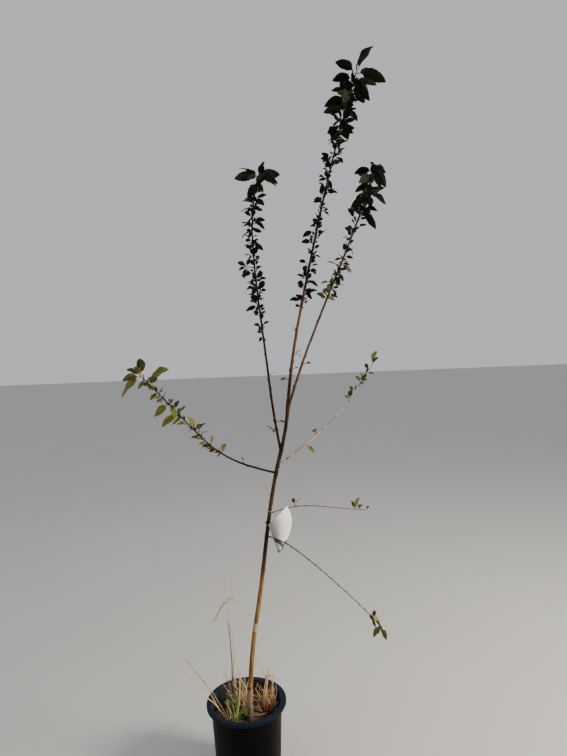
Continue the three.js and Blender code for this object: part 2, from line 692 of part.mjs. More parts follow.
// Low green weeds by the pot's wall
function weeds({ foot, radius, height, leaves, leaf, seed }, soil) {
  const chance = new Chance(seed);
  const middle = vec(foot[0], foot[1], SOIL.level);
  const pieces = [lowCrown(middle, radius, height)];
  for (let i = 0; i < leaves; i += 1) {
    const turn = i * degToRad(137.5);
    const out = radius * 0.75 * (i / leaves) ** 0.5;
    const start = middle.clone().add(vec(out * cos(turn), out * sin(turn), 0));
    const along = vec(cos(turn), sin(turn), chance.between(1.2, 3.6)).normalize();
    const length = leaf * chance.between(0.7, 1.3);
    pieces.push(new Leaf(start, along, length, chance.between(-40, 40)).solid());
  }
  return whole(joined(pieces).subtract(soil));
}

const surface = (colour, roughness) => {
  return new THREE.MeshStandardMaterial({ color: colour, roughness, metalness: 0 });
};
const MATERIALS = {
  pot: surface(0x1b1d22, 0.45),
  soil: surface(0x2b2119, 0.95),
  bark: surface(0x6b4d31, 0.75),
  young: surface(0x7a4a35, 0.6),
  leaf: surface(0x3b4a22, 0.5),
  tag: surface(0xe9e6e1, 0.6),
  thread: surface(0xcfc4b0, 0.8),
  straw: surface(0xc9ab78, 0.85),
  weed: surface(0x6f9a34, 0.6),
};

function named(name, shape, material) {
  const { vertProperties, triVerts } = shape.getMesh();
  const geometry = new THREE.BufferGeometry();
  geometry.setAttribute('position', new THREE.BufferAttribute(vertProperties, 3));
  geometry.setIndex(new THREE.BufferAttribute(triVerts, 1));
  geometry.computeVertexNormals();
  const mesh = new THREE.Mesh(geometry, material);
  mesh.name = name;
  return mesh;
}

function group(...members) {
  const gathered = new THREE.Group();
  members.forEach((member) => gathered.add(member));
  return gathered;
}

const limbs = {};
Object.entries(LIMBS).forEach(([name, size]) => {
  const foot = size.on ? limbs[size.on].point(size.at) : vec(...size.foot, SOIL.level + GAP);
  if (size.at === 1) foot.addScaledVector(limbs[size.on].way(1, 0, 90), GAP);
  limbs[name] = new Limb(name, size, foot);
});

const soilCut = rootBall(GAP);
const container = group(
  named('pot', pot(), MATERIALS.pot),
  named('root_ball', rootBall(), MATERIALS.soil),
);

const wood = group(named('trunk', trunk(limbs.trunk, soilCut), MATERIALS.bark));
Object.values(limbs).filter((limb) => limb.on).forEach((limb) => {
  const twig = limb.name.endsWith('twig');
  wood.add(named(limb.name, bareLimb(limb, limbs), twig ? MATERIALS.young : MATERIALS.bark));
});

const crown = group();
Object.entries(FOLIAGE).forEach(([name, mass]) => {
  crown.add(named(name, foliage(mass, limbs), MATERIALS.leaf));
});
TUFTS.forEach((each, i) => {
  crown.add(named(`tuft_${i + 1}`, tuft(each, limbs), MATERIALS.leaf));
});

const label = group(
  named('tag', tag(), MATERIALS.tag),
  named('tag_thread', thread(limbs.trunk), MATERIALS.thread),
);

const trunkCut = trunkBody(limbs.trunk, GAP);
const inPot = group();
Object.entries(CLUMPS).forEach(([name, size]) => {
  inPot.add(named(name, clump(size, soilCut, [trunkCut]), MATERIALS.straw));
});
inPot.add(named('pot_weeds', weeds(WEEDS, soilCut), MATERIALS.weed));

export default group(container, wood, crown, label, inPot);
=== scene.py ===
"""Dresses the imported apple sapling: its bark, leaves, pot, potting mix, tag and dry grass.

Lengths inside the classes are millimetres, as in the part's source, and become metres when a
mesh is made. The origin is under the middle of the pot, +Z is up and the tree leans towards +X.
"""

import sys

import logging
import math
from dataclasses import dataclass, field
from enum import Enum

import bpy
import numpy as np
from mathutils import Matrix, Vector


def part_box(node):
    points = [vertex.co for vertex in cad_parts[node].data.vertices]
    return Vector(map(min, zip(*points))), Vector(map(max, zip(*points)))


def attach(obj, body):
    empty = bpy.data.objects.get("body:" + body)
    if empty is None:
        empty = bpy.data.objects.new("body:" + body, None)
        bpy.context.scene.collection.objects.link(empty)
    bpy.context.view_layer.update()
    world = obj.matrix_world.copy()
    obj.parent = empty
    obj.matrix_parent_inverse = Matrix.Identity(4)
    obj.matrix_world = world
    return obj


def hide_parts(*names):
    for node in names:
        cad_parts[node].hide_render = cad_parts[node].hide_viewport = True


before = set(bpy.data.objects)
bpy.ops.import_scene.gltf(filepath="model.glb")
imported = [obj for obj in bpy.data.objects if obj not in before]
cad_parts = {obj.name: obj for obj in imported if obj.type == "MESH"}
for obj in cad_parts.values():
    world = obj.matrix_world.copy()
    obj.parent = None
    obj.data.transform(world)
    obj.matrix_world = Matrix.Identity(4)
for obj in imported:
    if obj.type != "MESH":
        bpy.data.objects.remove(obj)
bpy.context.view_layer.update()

LOG = logging.getLogger("sapling")
MARK = "mark"
Array = np.ndarray
Material = bpy.types.Material
Socket = bpy.types.NodeSocket
Pair = tuple[float, float]
Triple = tuple[float, float, float]
Colour = Triple
Stops = list[tuple[float, Colour]]

MM = 0.001
TURN = 2.0 * math.pi
GOLDEN = 137.5
EVEN = (1.0, 1.0, 1.0)
UP = np.array([0.0, 0.0, 1.0])
DEPTH = np.array([0.0, 1.0, 0.0])

# The part's own clearance, the steps of a limb's walk, how deep a spur starts in its limb as a
# share of the radius, the share of Y past which a path counts as running along Y, and the angles
# in degrees past which an edge is sharp
GAP = 0.3
STEPS = 60
SEAT = 0.7
STEEP = 0.92
ROUND = 180.0
LEAF_EDGE = 60.0


# Numbers and shapes


def unit(vectors: Array) -> Array:
    """Vectors scaled to length one along their last axis."""
    return vectors / np.maximum(np.linalg.norm(vectors, axis=-1, keepdims=True), 1e-9)


def shares(count: int) -> Array:
    """That many even shares from 0 to 1."""
    return np.linspace(0.0, 1.0, count)


def ease(share: Array) -> Array:
    """A smooth step from 0 to 1: three squares less two cubes."""
    x = np.clip(share, 0.0, 1.0)
    return x * x * (3.0 - 2.0 * x)


def bell(*offsets: Array) -> Array:
    """A bell curve: e to the power of minus the sum of the squared offsets."""
    return np.exp(-sum(offset ** 2 for offset in offsets))


def bend(share: Array, amount: float) -> Array:
    """A bow that is 0 at both ends and amount in the middle."""
    return 4.0 * amount * share * (1.0 - share)


def turn_gap(turn: Array, other: float) -> Array:
    """How far apart two turns are, in whole turns, the shorter way round."""
    return np.abs((turn - other + 0.5) % 1.0 - 0.5)


def station(values: list[float], share: Array) -> Array:
    """The value at a share of the way through a list of even stations."""
    stations = values if len(values) > 1 else values * 2
    return np.interp(share, shares(len(stations)), stations)


class Chance:
    """Numbers that follow from a seed, drawn in the order in which the part's source draws them."""

    def __init__(self, seed: int) -> None:
        """Starts the row of numbers from a seed."""
        self.state = seed

    def next(self) -> float:
        """The next number from 0 to 1."""
        self.state = self.state * 16807 % 2147483647
        return self.state / 2147483647

    def between(self, low: float, high: float) -> float:
        """The next number from low to high."""
        return low + (high - low) * self.next()


@dataclass(frozen=True)
class Grain:
    """Seeded noise: random values at the corners of a lattice, joined by smooth steps."""

    seed: int
    rows: int
    columns: int

    def at(self, down: Array, across: Array) -> Array:
        """The noise from -1 to 1.

        Args:
            down: places from 0 to 1 down the lattice.
            across: places across the lattice, which repeats at every whole number.

        Returns:
            One value for each place.
        """
        lattice = np.random.default_rng(self.seed).uniform(-1.0, 1.0, (self.rows + 2, self.columns))
        y, x = np.clip(down, 0.0, 1.0) * self.rows, across * self.columns
        i, j = np.floor(y).astype(int), np.floor(x).astype(int)
        fy, fx = ease(y - i), ease(x - j)
        left, right = j % self.columns, (j + 1) % self.columns
        above = lattice[i, left] * (1 - fx) + lattice[i, right] * fx
        below = lattice[i + 1, left] * (1 - fx) + lattice[i + 1, right] * fx
        return above * (1 - fy) + below * fy


def walk(
    foot: Array, length: float, lean: list[float], back: list[float], steps: int
) -> tuple[Array, Array]:
    """A walk in equal steps, each turned by its lean from upright and its angle back.

    Args:
        foot: where the walk starts.
        length: how long it is.
        lean: degrees from upright towards +X at even stations.
        back: degrees towards +Y at even stations.
        steps: how many steps it has.

    Returns:
        The points, one more than the steps, and the direction of each step.
    """
    share = (np.arange(steps) + 0.5) / steps
    a, b = np.radians(station(lean, share)), np.radians(station(back, share))
    ways = np.stack([np.sin(a) * np.cos(b), np.sin(b), np.cos(a) * np.cos(b)], axis=-1)
    points = np.vstack([foot, foot + np.cumsum(ways * length / steps, axis=0)])
    return points, ways


def frames(centres: Array) -> tuple[Array, Array]:
    """Two directions across each path: +Y, or +Z on a path along Y, crossed with its way, and one
    square to both."""
    along = unit(np.gradient(centres, axis=-2))
    steep = np.abs(along[..., 1:2].mean(axis=-2, keepdims=True)) > STEEP
    across = unit(np.cross(np.where(steep, UP, DEPTH), along))
    return across, np.cross(along, across)


def tube(centres: Array, radii: Array, around: int) -> Array:
    """Rings round paths: a point is the centre plus radius times the across and other directions.

    Args:
        centres: (tubes, along, 3) points.
        radii: radii that fit (tubes, along, around).
        around: points in a ring.

    Returns:
        Rings of points, (tubes, along, around, 3).
    """
    turn = np.linspace(0.0, TURN, around, endpoint=False)
    across, other = frames(centres)
    out = across[..., None, :] * np.cos(turn)[:, None] + other[..., None, :] * np.sin(turn)[:, None]
    return centres[..., None, :] + out * np.broadcast_to(radii, out.shape[:-1])[..., None]


def lathe(profile: list[Pair], around: int) -> Array:
    """A profile of radius and height turned about Z, as one stack of rings."""
    turn = np.linspace(0.0, TURN, around, endpoint=False)
    radius, height = np.array(profile, dtype=float).T[..., None]
    high = np.broadcast_to(height, (len(profile), around))
    return np.stack([radius * np.cos(turn), radius * np.sin(turn), high], axis=-1)[None]


def smoothed(points: Array, reach: int) -> Array:
    """Points along a path, rounded off by a running mean over reach points to each side."""
    padded = np.pad(points, ((reach, reach), (0, 0)), mode="reflect", reflect_type="odd")
    kernel = np.ones(2 * reach + 1) / (2 * reach + 1)
    return np.stack([np.convolve(padded[:, k], kernel, "valid") for k in range(3)], axis=-1)


def even(points: Array, count: int) -> Array:
    """Evenly spaced points along a line through corners."""
    steps = np.linalg.norm(np.diff(points, axis=0), axis=1)
    along = np.concatenate([[0.0], np.cumsum(steps)])
    places = np.linspace(0.0, along[-1], count)
    return np.stack([np.interp(places, along, points[:, k]) for k in range(3)], axis=-1)


def distance(points: Array, starts: Array, ends: Array, radii: Array) -> Array:
    """The least distance of each point from a rod's surface.

    Args:
        points: (n, 3) points.
        starts: the starts of the rod's steps.
        ends: their ends.
        radii: their radii.

    Returns:
        One distance for each point.
    """
    step = ends - starts
    share = np.einsum("psk,sk->ps", points[:, None] - starts, step) / (step * step).sum(-1)
    nearest = starts + np.clip(share, 0.0, 1.0)[..., None] * step
    return (np.linalg.norm(points[:, None] - nearest, axis=-1) - radii).min(axis=1)


class Gather:
    """Collects stacks of rings, closes each into a solid and makes them one piece."""

    def __init__(self) -> None:
        """Starts with nothing gathered."""
        self.points: list[Array] = []
        self.quads: list[Array] = []
        self.triangles: list[Array] = []
        self.marks: list[Array] = []
        self.count = 0

    def add(self, rings: Array, marks: Array | tuple | float = 0.0) -> None:
        """Closes stacks of rings with a fan at each end.

        Args:
            rings: (tubes, along, around, 3) points; around runs by the right hand about along.
            marks: numbers for the material that fit (tubes, along, around, 4).
        """
        tubes, along, around, _ = rings.shape
        painted = np.broadcast_to(marks, (tubes, along, around, 4))
        size = along * around + 2
        first = self.count + np.arange(tubes)[:, None, None] * size
        row, j = np.arange(along - 1)[None, :, None] * around, np.arange(around)[None, None, :]
        k = (j + 1) % around
        corners = (row + j, row + k, row + around + k, row + around + j)
        quads = np.stack([first + corner for corner in corners], axis=-1)
        j, k = j.ravel(), k.ravel()
        last = (along - 1) * around
        start = np.stack([np.full(around, size - 2), k, j], axis=-1)
        end = np.stack([np.full(around, size - 1), last + j, last + k], axis=-1)
        self.points.append(self._close(rings))
        self.marks.append(self._close(painted))
        self.quads.append(quads.reshape(-1, 4))
        self.triangles.append((np.concatenate([start, end])[None] + first).reshape(-1, 3))
        self.count += tubes * size

    @staticmethod
    def _close(rings: Array) -> Array:
        """Each tube's points followed by the middles of its first and last rings."""
        middles = rings[:, [0, -1]].mean(axis=2)
        flat = rings.reshape(rings.shape[0], -1, rings.shape[-1])
        return np.concatenate([flat, middles], axis=1).reshape(-1, rings.shape[-1])

    def mesh(self, name: str, edge: float = ROUND) -> bpy.types.Mesh:
        """Makes the gathered solids one smooth mesh.

        Args:
            name: the mesh's name.
            edge: the angle in degrees past which an edge is sharp.

        Returns:
            The mesh, in metres, with its marks as a colour attribute.
        """
        points = np.concatenate(self.points) * MM
        quads, triangles = np.concatenate(self.quads), np.concatenate(self.triangles)
        mesh = bpy.data.meshes.new(name)
        mesh.vertices.add(len(points))
        mesh.vertices.foreach_set("co", points.astype(np.float32).ravel())
        corners = np.concatenate([quads.ravel(), triangles.ravel()]).astype(np.int32)
        starts = np.concatenate([np.arange(len(quads)) * 4, quads.size + np.arange(len(triangles)) * 3])
        mesh.loops.add(len(corners))
        mesh.loops.foreach_set("vertex_index", corners)
        mesh.polygons.add(len(starts))
        mesh.polygons.foreach_set("loop_start", starts.astype(np.int32))
        mesh.update(calc_edges=True)
        mesh.polygons.foreach_set("use_smooth", np.ones(len(starts), dtype=bool))
        marks = mesh.attributes.new(MARK, "FLOAT_COLOR", "POINT")
        marks.data.foreach_set("color", np.concatenate(self.marks).astype(np.float32).ravel())
        if edge < ROUND:
            mesh.set_sharp_from_angle(angle=math.radians(edge))
        return mesh


def stand(name: str, data: bpy.types.ID) -> bpy.types.Object:
    """A new object in the scene."""
    made = bpy.data.objects.new(name, data)
    bpy.context.scene.collection.objects.link(made)
    return made


def show(
    name: str, gather: Gather, material: Material, slot: str, *nodes: str, edge: float = ROUND
) -> bpy.types.Object:
    """Puts a piece in the scene, on the tree's one body.

    Args:
        name: the piece's name.
        gather: its solids, already in place.
        material: its finish.
        slot: the record's material slot; not used.
        nodes: the solids that it stands for.
        edge: the angle in degrees past which an edge is sharp.

    Returns:
        The new object.
    """
    mesh = gather.mesh(name, edge)
    piece = stand(name, mesh)
    mesh.materials.append(material)
    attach(piece, "root")
    if nodes:
        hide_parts(*nodes)
    LOG.info("%s: %d faces", name, len(mesh.polygons))
    return piece


# Finishes


class Value:
    """A number that varies over a surface: a socket whose arithmetic adds Math nodes."""

    def __init__(self, paint: "Paint", socket: Socket) -> None:
        """Wraps a socket of one material."""
        self.paint = paint
        self.socket = socket

    def _math(self, operation: str, first: "Value | float", second: "Value | float") -> "Value":
        """One Math node on two values."""
        made = self.paint.node("ShaderNodeMath", {"operation": operation}, {0: first, 1: second})
        return Value(self.paint, made.outputs[0])

    def __add__(self, other: "Value | float") -> "Value":
        """The sum."""
        return self._math("ADD", self, other)

    __radd__ = __add__

    def __mul__(self, other: "Value | float") -> "Value":
        """The product."""
        return self._math("MULTIPLY", self, other)

    __rmul__ = __mul__

    def __sub__(self, other: "Value | float") -> "Value":
        """The difference."""
        return self._math("SUBTRACT", self, other)

    def __rsub__(self, other: float) -> "Value":
        """The difference from a plain number."""
        return self._math("SUBTRACT", other, self)

    def least(self, other: "Value | float") -> "Value":
        """The smaller of two values."""
        return self._math("MINIMUM", self, other)

    def most(self, other: "Value | float") -> "Value":
        """The larger of two values."""
        return self._math("MAXIMUM", self, other)

    def size(self) -> "Value":
        """The value without its sign."""
        return self._math("ABSOLUTE", self, 0.0)

    def wave(self) -> "Value":
        """The sine of the value."""
        return self._math("SINE", self, 0.0)

    def rise(self, low: float, high: float) -> "Value":
        """A smooth step from 0 at low to 1 at high; falls where low is above high."""
        settings = {"interpolation_type": "SMOOTHSTEP", "clamp": True}
        ends = (low, high, 0.0, 1.0) if low < high else (high, low, 1.0, 0.0)
        made = self.paint.node("ShaderNodeMapRange", settings, dict(enumerate((self, *ends))))
        return Value(self.paint, made.outputs[0])


Tint = Colour | Socket


class Paint:
    """One material: its nodes round a Principled shader."""

    def __init__(self, name: str, **fixed: float) -> None:
        """Starts a material.

        Args:
            name: the material's name.
            fixed: values for the shader's own sockets, with _ for a space.
        """
        self.material = bpy.data.materials.new(name)
        self.material.use_nodes = True
        self.tree = self.material.node_tree
        self.shader = self.tree.nodes["Principled BSDF"]
        self.place = self.node("ShaderNodeTexCoord").outputs["Object"]
        for key, value in fixed.items():
            self.shader.inputs[key.replace("_", " ")].default_value = value

    def node(self, kind: str, settings: dict | None = None, values: dict | None = None) -> bpy.types.Node:
        """Adds a node.

        Args:
            kind: the node's type.
            settings: its properties, set first; stops is a list of a ramp's places and colours.
            values: its inputs by name or number, each a plain value, a socket or a Value.

        Returns:
            The new node.
        """
        made = self.tree.nodes.new(kind)
        for key, value in (settings or {}).items():
            if key == "stops":
                self._stops(made.color_ramp, value)
            else:
                setattr(made, key, value)
        for key, value in (values or {}).items():
            self.feed(made.inputs[key], value)
        return made

    @staticmethod
    def _stops(ramp: bpy.types.ColorRamp, stops: Stops) -> None:
        """Gives a ramp its stops."""
        while len(ramp.elements) < len(stops):
            ramp.elements.new(0.5)
        for element, (place, colour) in zip(ramp.elements, stops):
            element.position = place
            element.color = (*colour, 1.0)

    def feed(self, socket: Socket, value: object) -> None:
        """Links or sets one socket."""
        source = value.socket if isinstance(value, Value) else value
        if isinstance(source, Socket):
            self.tree.links.new(source, socket)
        elif isinstance(source, tuple) and len(source) == 3 and socket.type == "RGBA":
            socket.default_value = (*source, 1.0)
        else:
            socket.default_value = source

    def stretched(self, scale: Triple) -> Socket:
        """The object's coordinates, scaled along each axis."""
        return self.node("ShaderNodeMapping", None, {"Vector": self.place, "Scale": scale}).outputs[0]

    def noise(self, scale: float, detail: float = 3.0, stretch: Triple = EVEN) -> Value:
        """Cloudy noise from 0 to 1 in the object's coordinates."""
        values = {"Vector": self.stretched(stretch), "Scale": scale, "Detail": detail}
        return Value(self, self.node("ShaderNodeTexNoise", None, values).outputs[0])

    def cells(self, scale: float, stretch: Triple = EVEN) -> Value:
        """The distance to the nearest of many scattered points."""
        values = {"Vector": self.stretched(stretch), "Scale": scale}
        return Value(self, self.node("ShaderNodeTexVoronoi", None, values).outputs["Distance"])

    def radius(self) -> Value:
        """The distance from the pot's axis in metres."""
        flat = self.stretched((1.0, 1.0, 0.0))
        made = self.node("ShaderNodeVectorMath", {"operation": "LENGTH"}, {0: flat})
        return Value(self, made.outputs["Value"])

    def height(self) -> Value:
        """The height above the ground in metres."""
        return Value(self, self.node("ShaderNodeSeparateXYZ", None, {0: self.place}).outputs["Z"])

    def marks(self) -> tuple[Value, Value, Value, Value]:
        """The piece's four marks."""
        source = self.node("ShaderNodeAttribute", {"attribute_name": MARK})
        parts = self.node("ShaderNodeSeparateColor", None, {0: source.outputs["Color"]}).outputs
        first, second, third = (Value(self, part) for part in parts)
        return first, second, third, Value(self, source.outputs["Alpha"])

    def mix(self, share: Value | float, first: Tint, second: Tint) -> Socket:
        """One colour turned into another by a share."""
        made = self.node("ShaderNodeMix", {"data_type": "RGBA"}, {0: share, 6: first, 7: second})
        return made.outputs[2]

    def darken(self, colour: Tint, by: Value) -> Socket:
        """A colour multiplied by a value."""
        made = self.node("ShaderNodeVectorMath", {"operation": "SCALE"}, {0: colour, "Scale": by})
        return made.outputs[0]

    def ramp(self, share: Value, stops: Stops) -> Socket:
        """A colour from a row of stops."""
        return self.node("ShaderNodeValToRGB", {"stops": stops}, {0: share}).outputs[0]

    def finish(
        self, colour: Tint, rough: Value | float, bump: Value | None = None, depth: float = 0.0002
    ) -> Material:
        """Feeds the shader.

        Args:
            colour: the base colour.
            rough: the roughness.
            bump: the relief, if it has one.
            depth: how high the relief stands, in metres.

        Returns:
            The finished material.
        """
        self.feed(self.shader.inputs["Base Color"], colour)
        self.feed(self.shader.inputs["Roughness"], rough)
        if bump is not None:
            made = self.node("ShaderNodeBump", None, {"Height": bump, "Distance": depth, "Strength": 1.0})
            self.feed(self.shader.inputs["Normal"], made.outputs[0])
        return self.material


@dataclass(frozen=True)
class Bark:
    """Smooth young bark with pale pores, streaks along it and a colour that changes with height, partly its
    own and partly painted shade.
    """

    name: str
    stops: Stops
    low: float
    high: float
    pore: Colour = (0.5, 0.38, 0.26)
    scar: Colour = (0.024, 0.008, 0.007)
    graft: Colour = (0.46, 0.31, 0.2)
    rough: float = 0.62
    relief: float = 0.00035

    def material(self) -> Material:
        """Makes the bark's material. Marks: share, turn, dark scar, pale scar."""
        paint = Paint(self.name, Specular_IOR_Level=0.06)
        climb = (paint.height() - self.low) * (1.0 / (self.high - self.low))
        wander = paint.noise(14.0, 2.0) - 0.5
        # The colour over height is the bark's own, with painted shade on the upper limbs.
        base = paint.ramp(climb + wander * 0.12, self.stops)
        streaks = paint.noise(90.0, 4.0, (1.0, 1.0, 0.12))
        blotch = paint.noise(38.0, 3.0, (1.0, 1.0, 0.5))
        shaded = paint.darken(base, 0.24 + streaks.rise(0.36, 0.62) * 0.7 + blotch * 0.66)
        pores = paint.cells(230.0, (1.0, 1.0, 1.9)).rise(0.3, 0.18) * paint.noise(60.0, 2.0).rise(0.5, 0.62)
        _, _, dark, pale = paint.marks()
        coloured = paint.mix(pores * 0.55, shaded, self.pore)
        ringed = paint.mix(dark * 0.9, coloured, self.scar)
        colour = paint.mix(pale, ringed, self.graft)
        relief = streaks * 0.5 + pores * 0.9 + paint.noise(420.0, 2.0) * 0.25
        return paint.finish(colour, self.rough - pores * 0.1 + blotch * 0.14, relief, self.relief)


class BarkKind(Enum):
    """The barks of the tree's limbs: stops of colour between two heights in metres."""

    # Every limb's stops darken towards the crown: partly the bark's own colour, partly painted shade, as the
    # upper trunk and leaders stand in shade and the lower trunk in sun; the near-black stops are painted
    # shade.
    TRUNK = Bark("trunk_bark", [
        (0.0, (0.1, 0.065, 0.048)), (0.05, (0.25, 0.165, 0.12)), (0.09, (0.25, 0.155, 0.1)),
        (0.112, (0.2, 0.115, 0.042)), (0.3, (0.21, 0.113, 0.034)), (0.4, (0.18, 0.092, 0.024)),
        (0.46, (0.11, 0.055, 0.017)), (0.51, (0.045, 0.022, 0.009)), (0.59, (0.032, 0.015, 0.006)),
        (0.66, (0.07, 0.037, 0.014)), (0.78, (0.04, 0.02, 0.009)), (0.9, (0.022, 0.011, 0.006)),
        (1.0, (0.045, 0.024, 0.009)),
    ], 0.222, 1.332)
    CENTRE = Bark("centre_bark", [
        (0.0, (0.045, 0.021, 0.011)), (0.16, (0.14, 0.056, 0.016)), (0.3, (0.12, 0.05, 0.018)),
        (0.4, (0.022, 0.012, 0.008)), (1.0, (0.006, 0.004, 0.003)),
    ], 1.33, 2.42)
    DARK = Bark("dark_bark", [
        (0.0, (0.012, 0.005, 0.0035)), (0.35, (0.024, 0.009, 0.005)), (1.0, (0.006, 0.0035, 0.0025)),
    ], 1.0, 2.1)
    SIDE = Bark("side_bark", [(0.0, (0.01, 0.006, 0.005)), (1.0, (0.06, 0.034, 0.022))], 1.1, 1.45)
    PINK = Bark("pink_bark", [
        (0.0, (0.05, 0.027, 0.017)), (0.25, (0.14, 0.075, 0.045)), (0.45, (0.05, 0.027, 0.017)),
        (1.0, (0.006, 0.004, 0.003)),
    ], 1.3, 2.1)
    BOUGH = Bark("bough_bark", [
        (0.0, (0.34, 0.2, 0.17)), (0.4, (0.5, 0.36, 0.28)), (1.0, (0.16, 0.1, 0.06)),
    ], 1.1, 1.45)
    RED = Bark("twig_bark", [(0.0, (0.12, 0.026, 0.03)), (1.0, (0.17, 0.04, 0.05))], 0.6, 1.0, rough=0.5)
    BROWN = Bark("droop_bark", [(0.0, (0.03, 0.012, 0.008)), (1.0, (0.04, 0.016, 0.01))], 0.6, 0.9, rough=0.5)


@dataclass(frozen=True)
class LeafSkin:
    """An apple leaf: dark above with a paler rib and veins, greyer below; its darkest tones and its underside
    hold painted shade.
    """

    # The near-black dark and green stops are the leaf's green with painted shade in it, for leaves that stand
    # in shade in the crown.
    dark: Colour = (0.0055, 0.0046, 0.003)
    green: Colour = (0.011, 0.015, 0.005)
    olive: Colour = (0.09, 0.105, 0.02)
    yellow: Colour = (0.23, 0.21, 0.045)
    amber: Colour = (0.22, 0.13, 0.03)
    brown: Colour = (0.16, 0.07, 0.018)
    vein: Colour = (0.2, 0.2, 0.07)
    # Painted shade: the underside is kept nearly as dark as the shaded tops.
    below: Colour = (0.009, 0.01, 0.006)

    def material(self) -> Material:
        """Makes the leaf's material. Marks: tone, share along, share across, underside."""
        paint = Paint("apple_leaf", Specular_IOR_Level=0.1)
        tone, along, across, under = paint.marks()
        away = (across - 0.5).size()
        base = paint.ramp(tone, [(0.0, self.dark), (0.3, self.green), (0.55, self.olive),
                                 (0.75, self.yellow), (0.88, self.amber), (1.0, self.brown)])
        mottle = paint.noise(70.0, 4.0)
        rusty = (paint.noise(26.0, 3.0).rise(0.55, 0.72) * 0.45 + away.rise(0.36, 0.5) * 0.3).least(0.6)
        aged = paint.mix(rusty * tone.rise(0.1, 0.6), base, self.brown)
        ribs = (along * 46.0 - away * 40.0).wave().rise(0.72, 0.98) * away.rise(0.5, 0.44)
        rib = away.rise(0.035, 0.012)
        pale = paint.darken(self.vein, 0.05 + tone)
        veined = paint.mix((ribs * 0.28).most(rib * 0.6), aged, pale)
        shaded = paint.darken(veined, 0.72 + mottle * 0.56)
        sides = paint.mix(under * 0.6, shaded, paint.darken(self.below, 0.5 + tone * 3.0))
        relief = 0.6 - ribs * 0.5 - rib * 0.6 + mottle * 0.3
        return paint.finish(sides, 0.52 + under * 0.2 + mottle * 0.12, relief, 0.0004)


@dataclass(frozen=True)
class Plain:
    """A matt finish mottled between two colours, with a fine relief."""

    name: str
    first: Colour
    second: Colour
    scale: float
    rough: float

    def material(self) -> Material:
        """Makes the material."""
        paint = Paint(self.name)
        mottle = paint.noise(self.scale, 5.0)
        fine = paint.noise(self.scale * 6.0, 2.0)
        colour = paint.mix(mottle.rise(0.32, 0.68), self.first, self.second)
        return paint.finish(paint.darken(colour, 0.75 + fine * 0.5), self.rough + fine * 0.1, fine + mottle)


@dataclass(frozen=True)
class PotPlastic:
    """Black blow-moulded plastic: satin, scuffed, with dust, a rim tinted blue by a painted sky reflection
    and a paler inside wall that is painted light.

    The inside wall is where the radius is less than the foot's plus the taper times the height.
    """

    body: Colour = (0.0012, 0.0009, 0.001)
    # The rim's blue is a painted reflection of the sky on black plastic.
    rim: Colour = (0.0055, 0.0085, 0.021)
    dust: Colour = (0.032, 0.02, 0.014)
    # Painted light: the inside wall, lit by the sun, is made paler than the black plastic.
    lit_inner: Colour = (0.05, 0.06, 0.074)
    rim_from: float = 0.2565
    inner_from: float = 0.19
    splashed_to: float = 0.2
    foot: float = 0.1099
    taper: float = 0.0508

    def material(self) -> Material:
        """Makes the pot's material."""
        paint = Paint("pot_plastic", Specular_IOR_Level=0.07)
        height = paint.height()
        on_rim = height.rise(self.rim_from, self.rim_from + 0.004)
        # Painted sky reflection: the rim takes the bluish colour.
        base = paint.mix(on_rim, self.body, self.rim)
        scuffs = paint.noise(60.0, 6.0, (1.0, 1.0, 0.18)).rise(0.55, 0.75)
        splash = paint.noise(22.0, 5.0).rise(0.5, 0.8) * height.rise(self.splashed_to, 0.0)
        dusty = (scuffs * 0.16 + splash * 0.3).least(0.45)
        # Painted light on the inside wall, in patches.
        wall = (height * self.taper + self.foot - paint.radius()).rise(0.0, 0.0004)
        inside = wall * height.rise(self.inner_from, self.inner_from + 0.03)
        lit_patches = paint.noise(30.0, 4.0, (1.0, 1.0, 0.4)).rise(0.35, 0.65) * 0.6 + 0.4
        orange_peel = paint.noise(700.0, 1.0)
        scratches = paint.noise(240.0, 3.0, (1.0, 1.0, 0.06))
        colour = paint.mix(dusty, paint.mix(inside * lit_patches, base, self.lit_inner), self.dust)
        rough = 0.4 + scuffs * 0.2 + dusty * 0.4 + on_rim * 0.02
        return paint.finish(colour, rough, orange_peel * 0.4 + scratches * 0.5, 0.00012)


@dataclass(frozen=True)
class MixEarth:
    """Dark potting mix with brown crumbs and patches of green moss."""

    damp: Colour = (0.006, 0.004, 0.003)
    crumb: Colour = (0.036, 0.022, 0.013)
    deep_moss: Colour = (0.01, 0.015, 0.004)
    moss: Colour = (0.036, 0.052, 0.01)

    def material(self) -> Material:
        """Makes the potting mix's material. Its first mark says where moss grows."""
        paint = Paint("potting_mix")
        mossy, _, _, _ = paint.marks()
        crumbs = paint.noise(160.0, 6.0)
        lumps = paint.cells(210.0)
        earth = paint.mix(crumbs.rise(0.42, 0.66), self.damp, self.crumb)
        green = paint.mix(paint.noise(320.0, 3.0).rise(0.35, 0.65), self.deep_moss, self.moss)
        patches = (mossy * paint.noise(75.0, 4.0).rise(0.42, 0.56)).least(1.0)
        colour = paint.mix(patches, earth, green)
        return paint.finish(colour, 0.88, crumbs + lumps * 0.8, 0.0012)


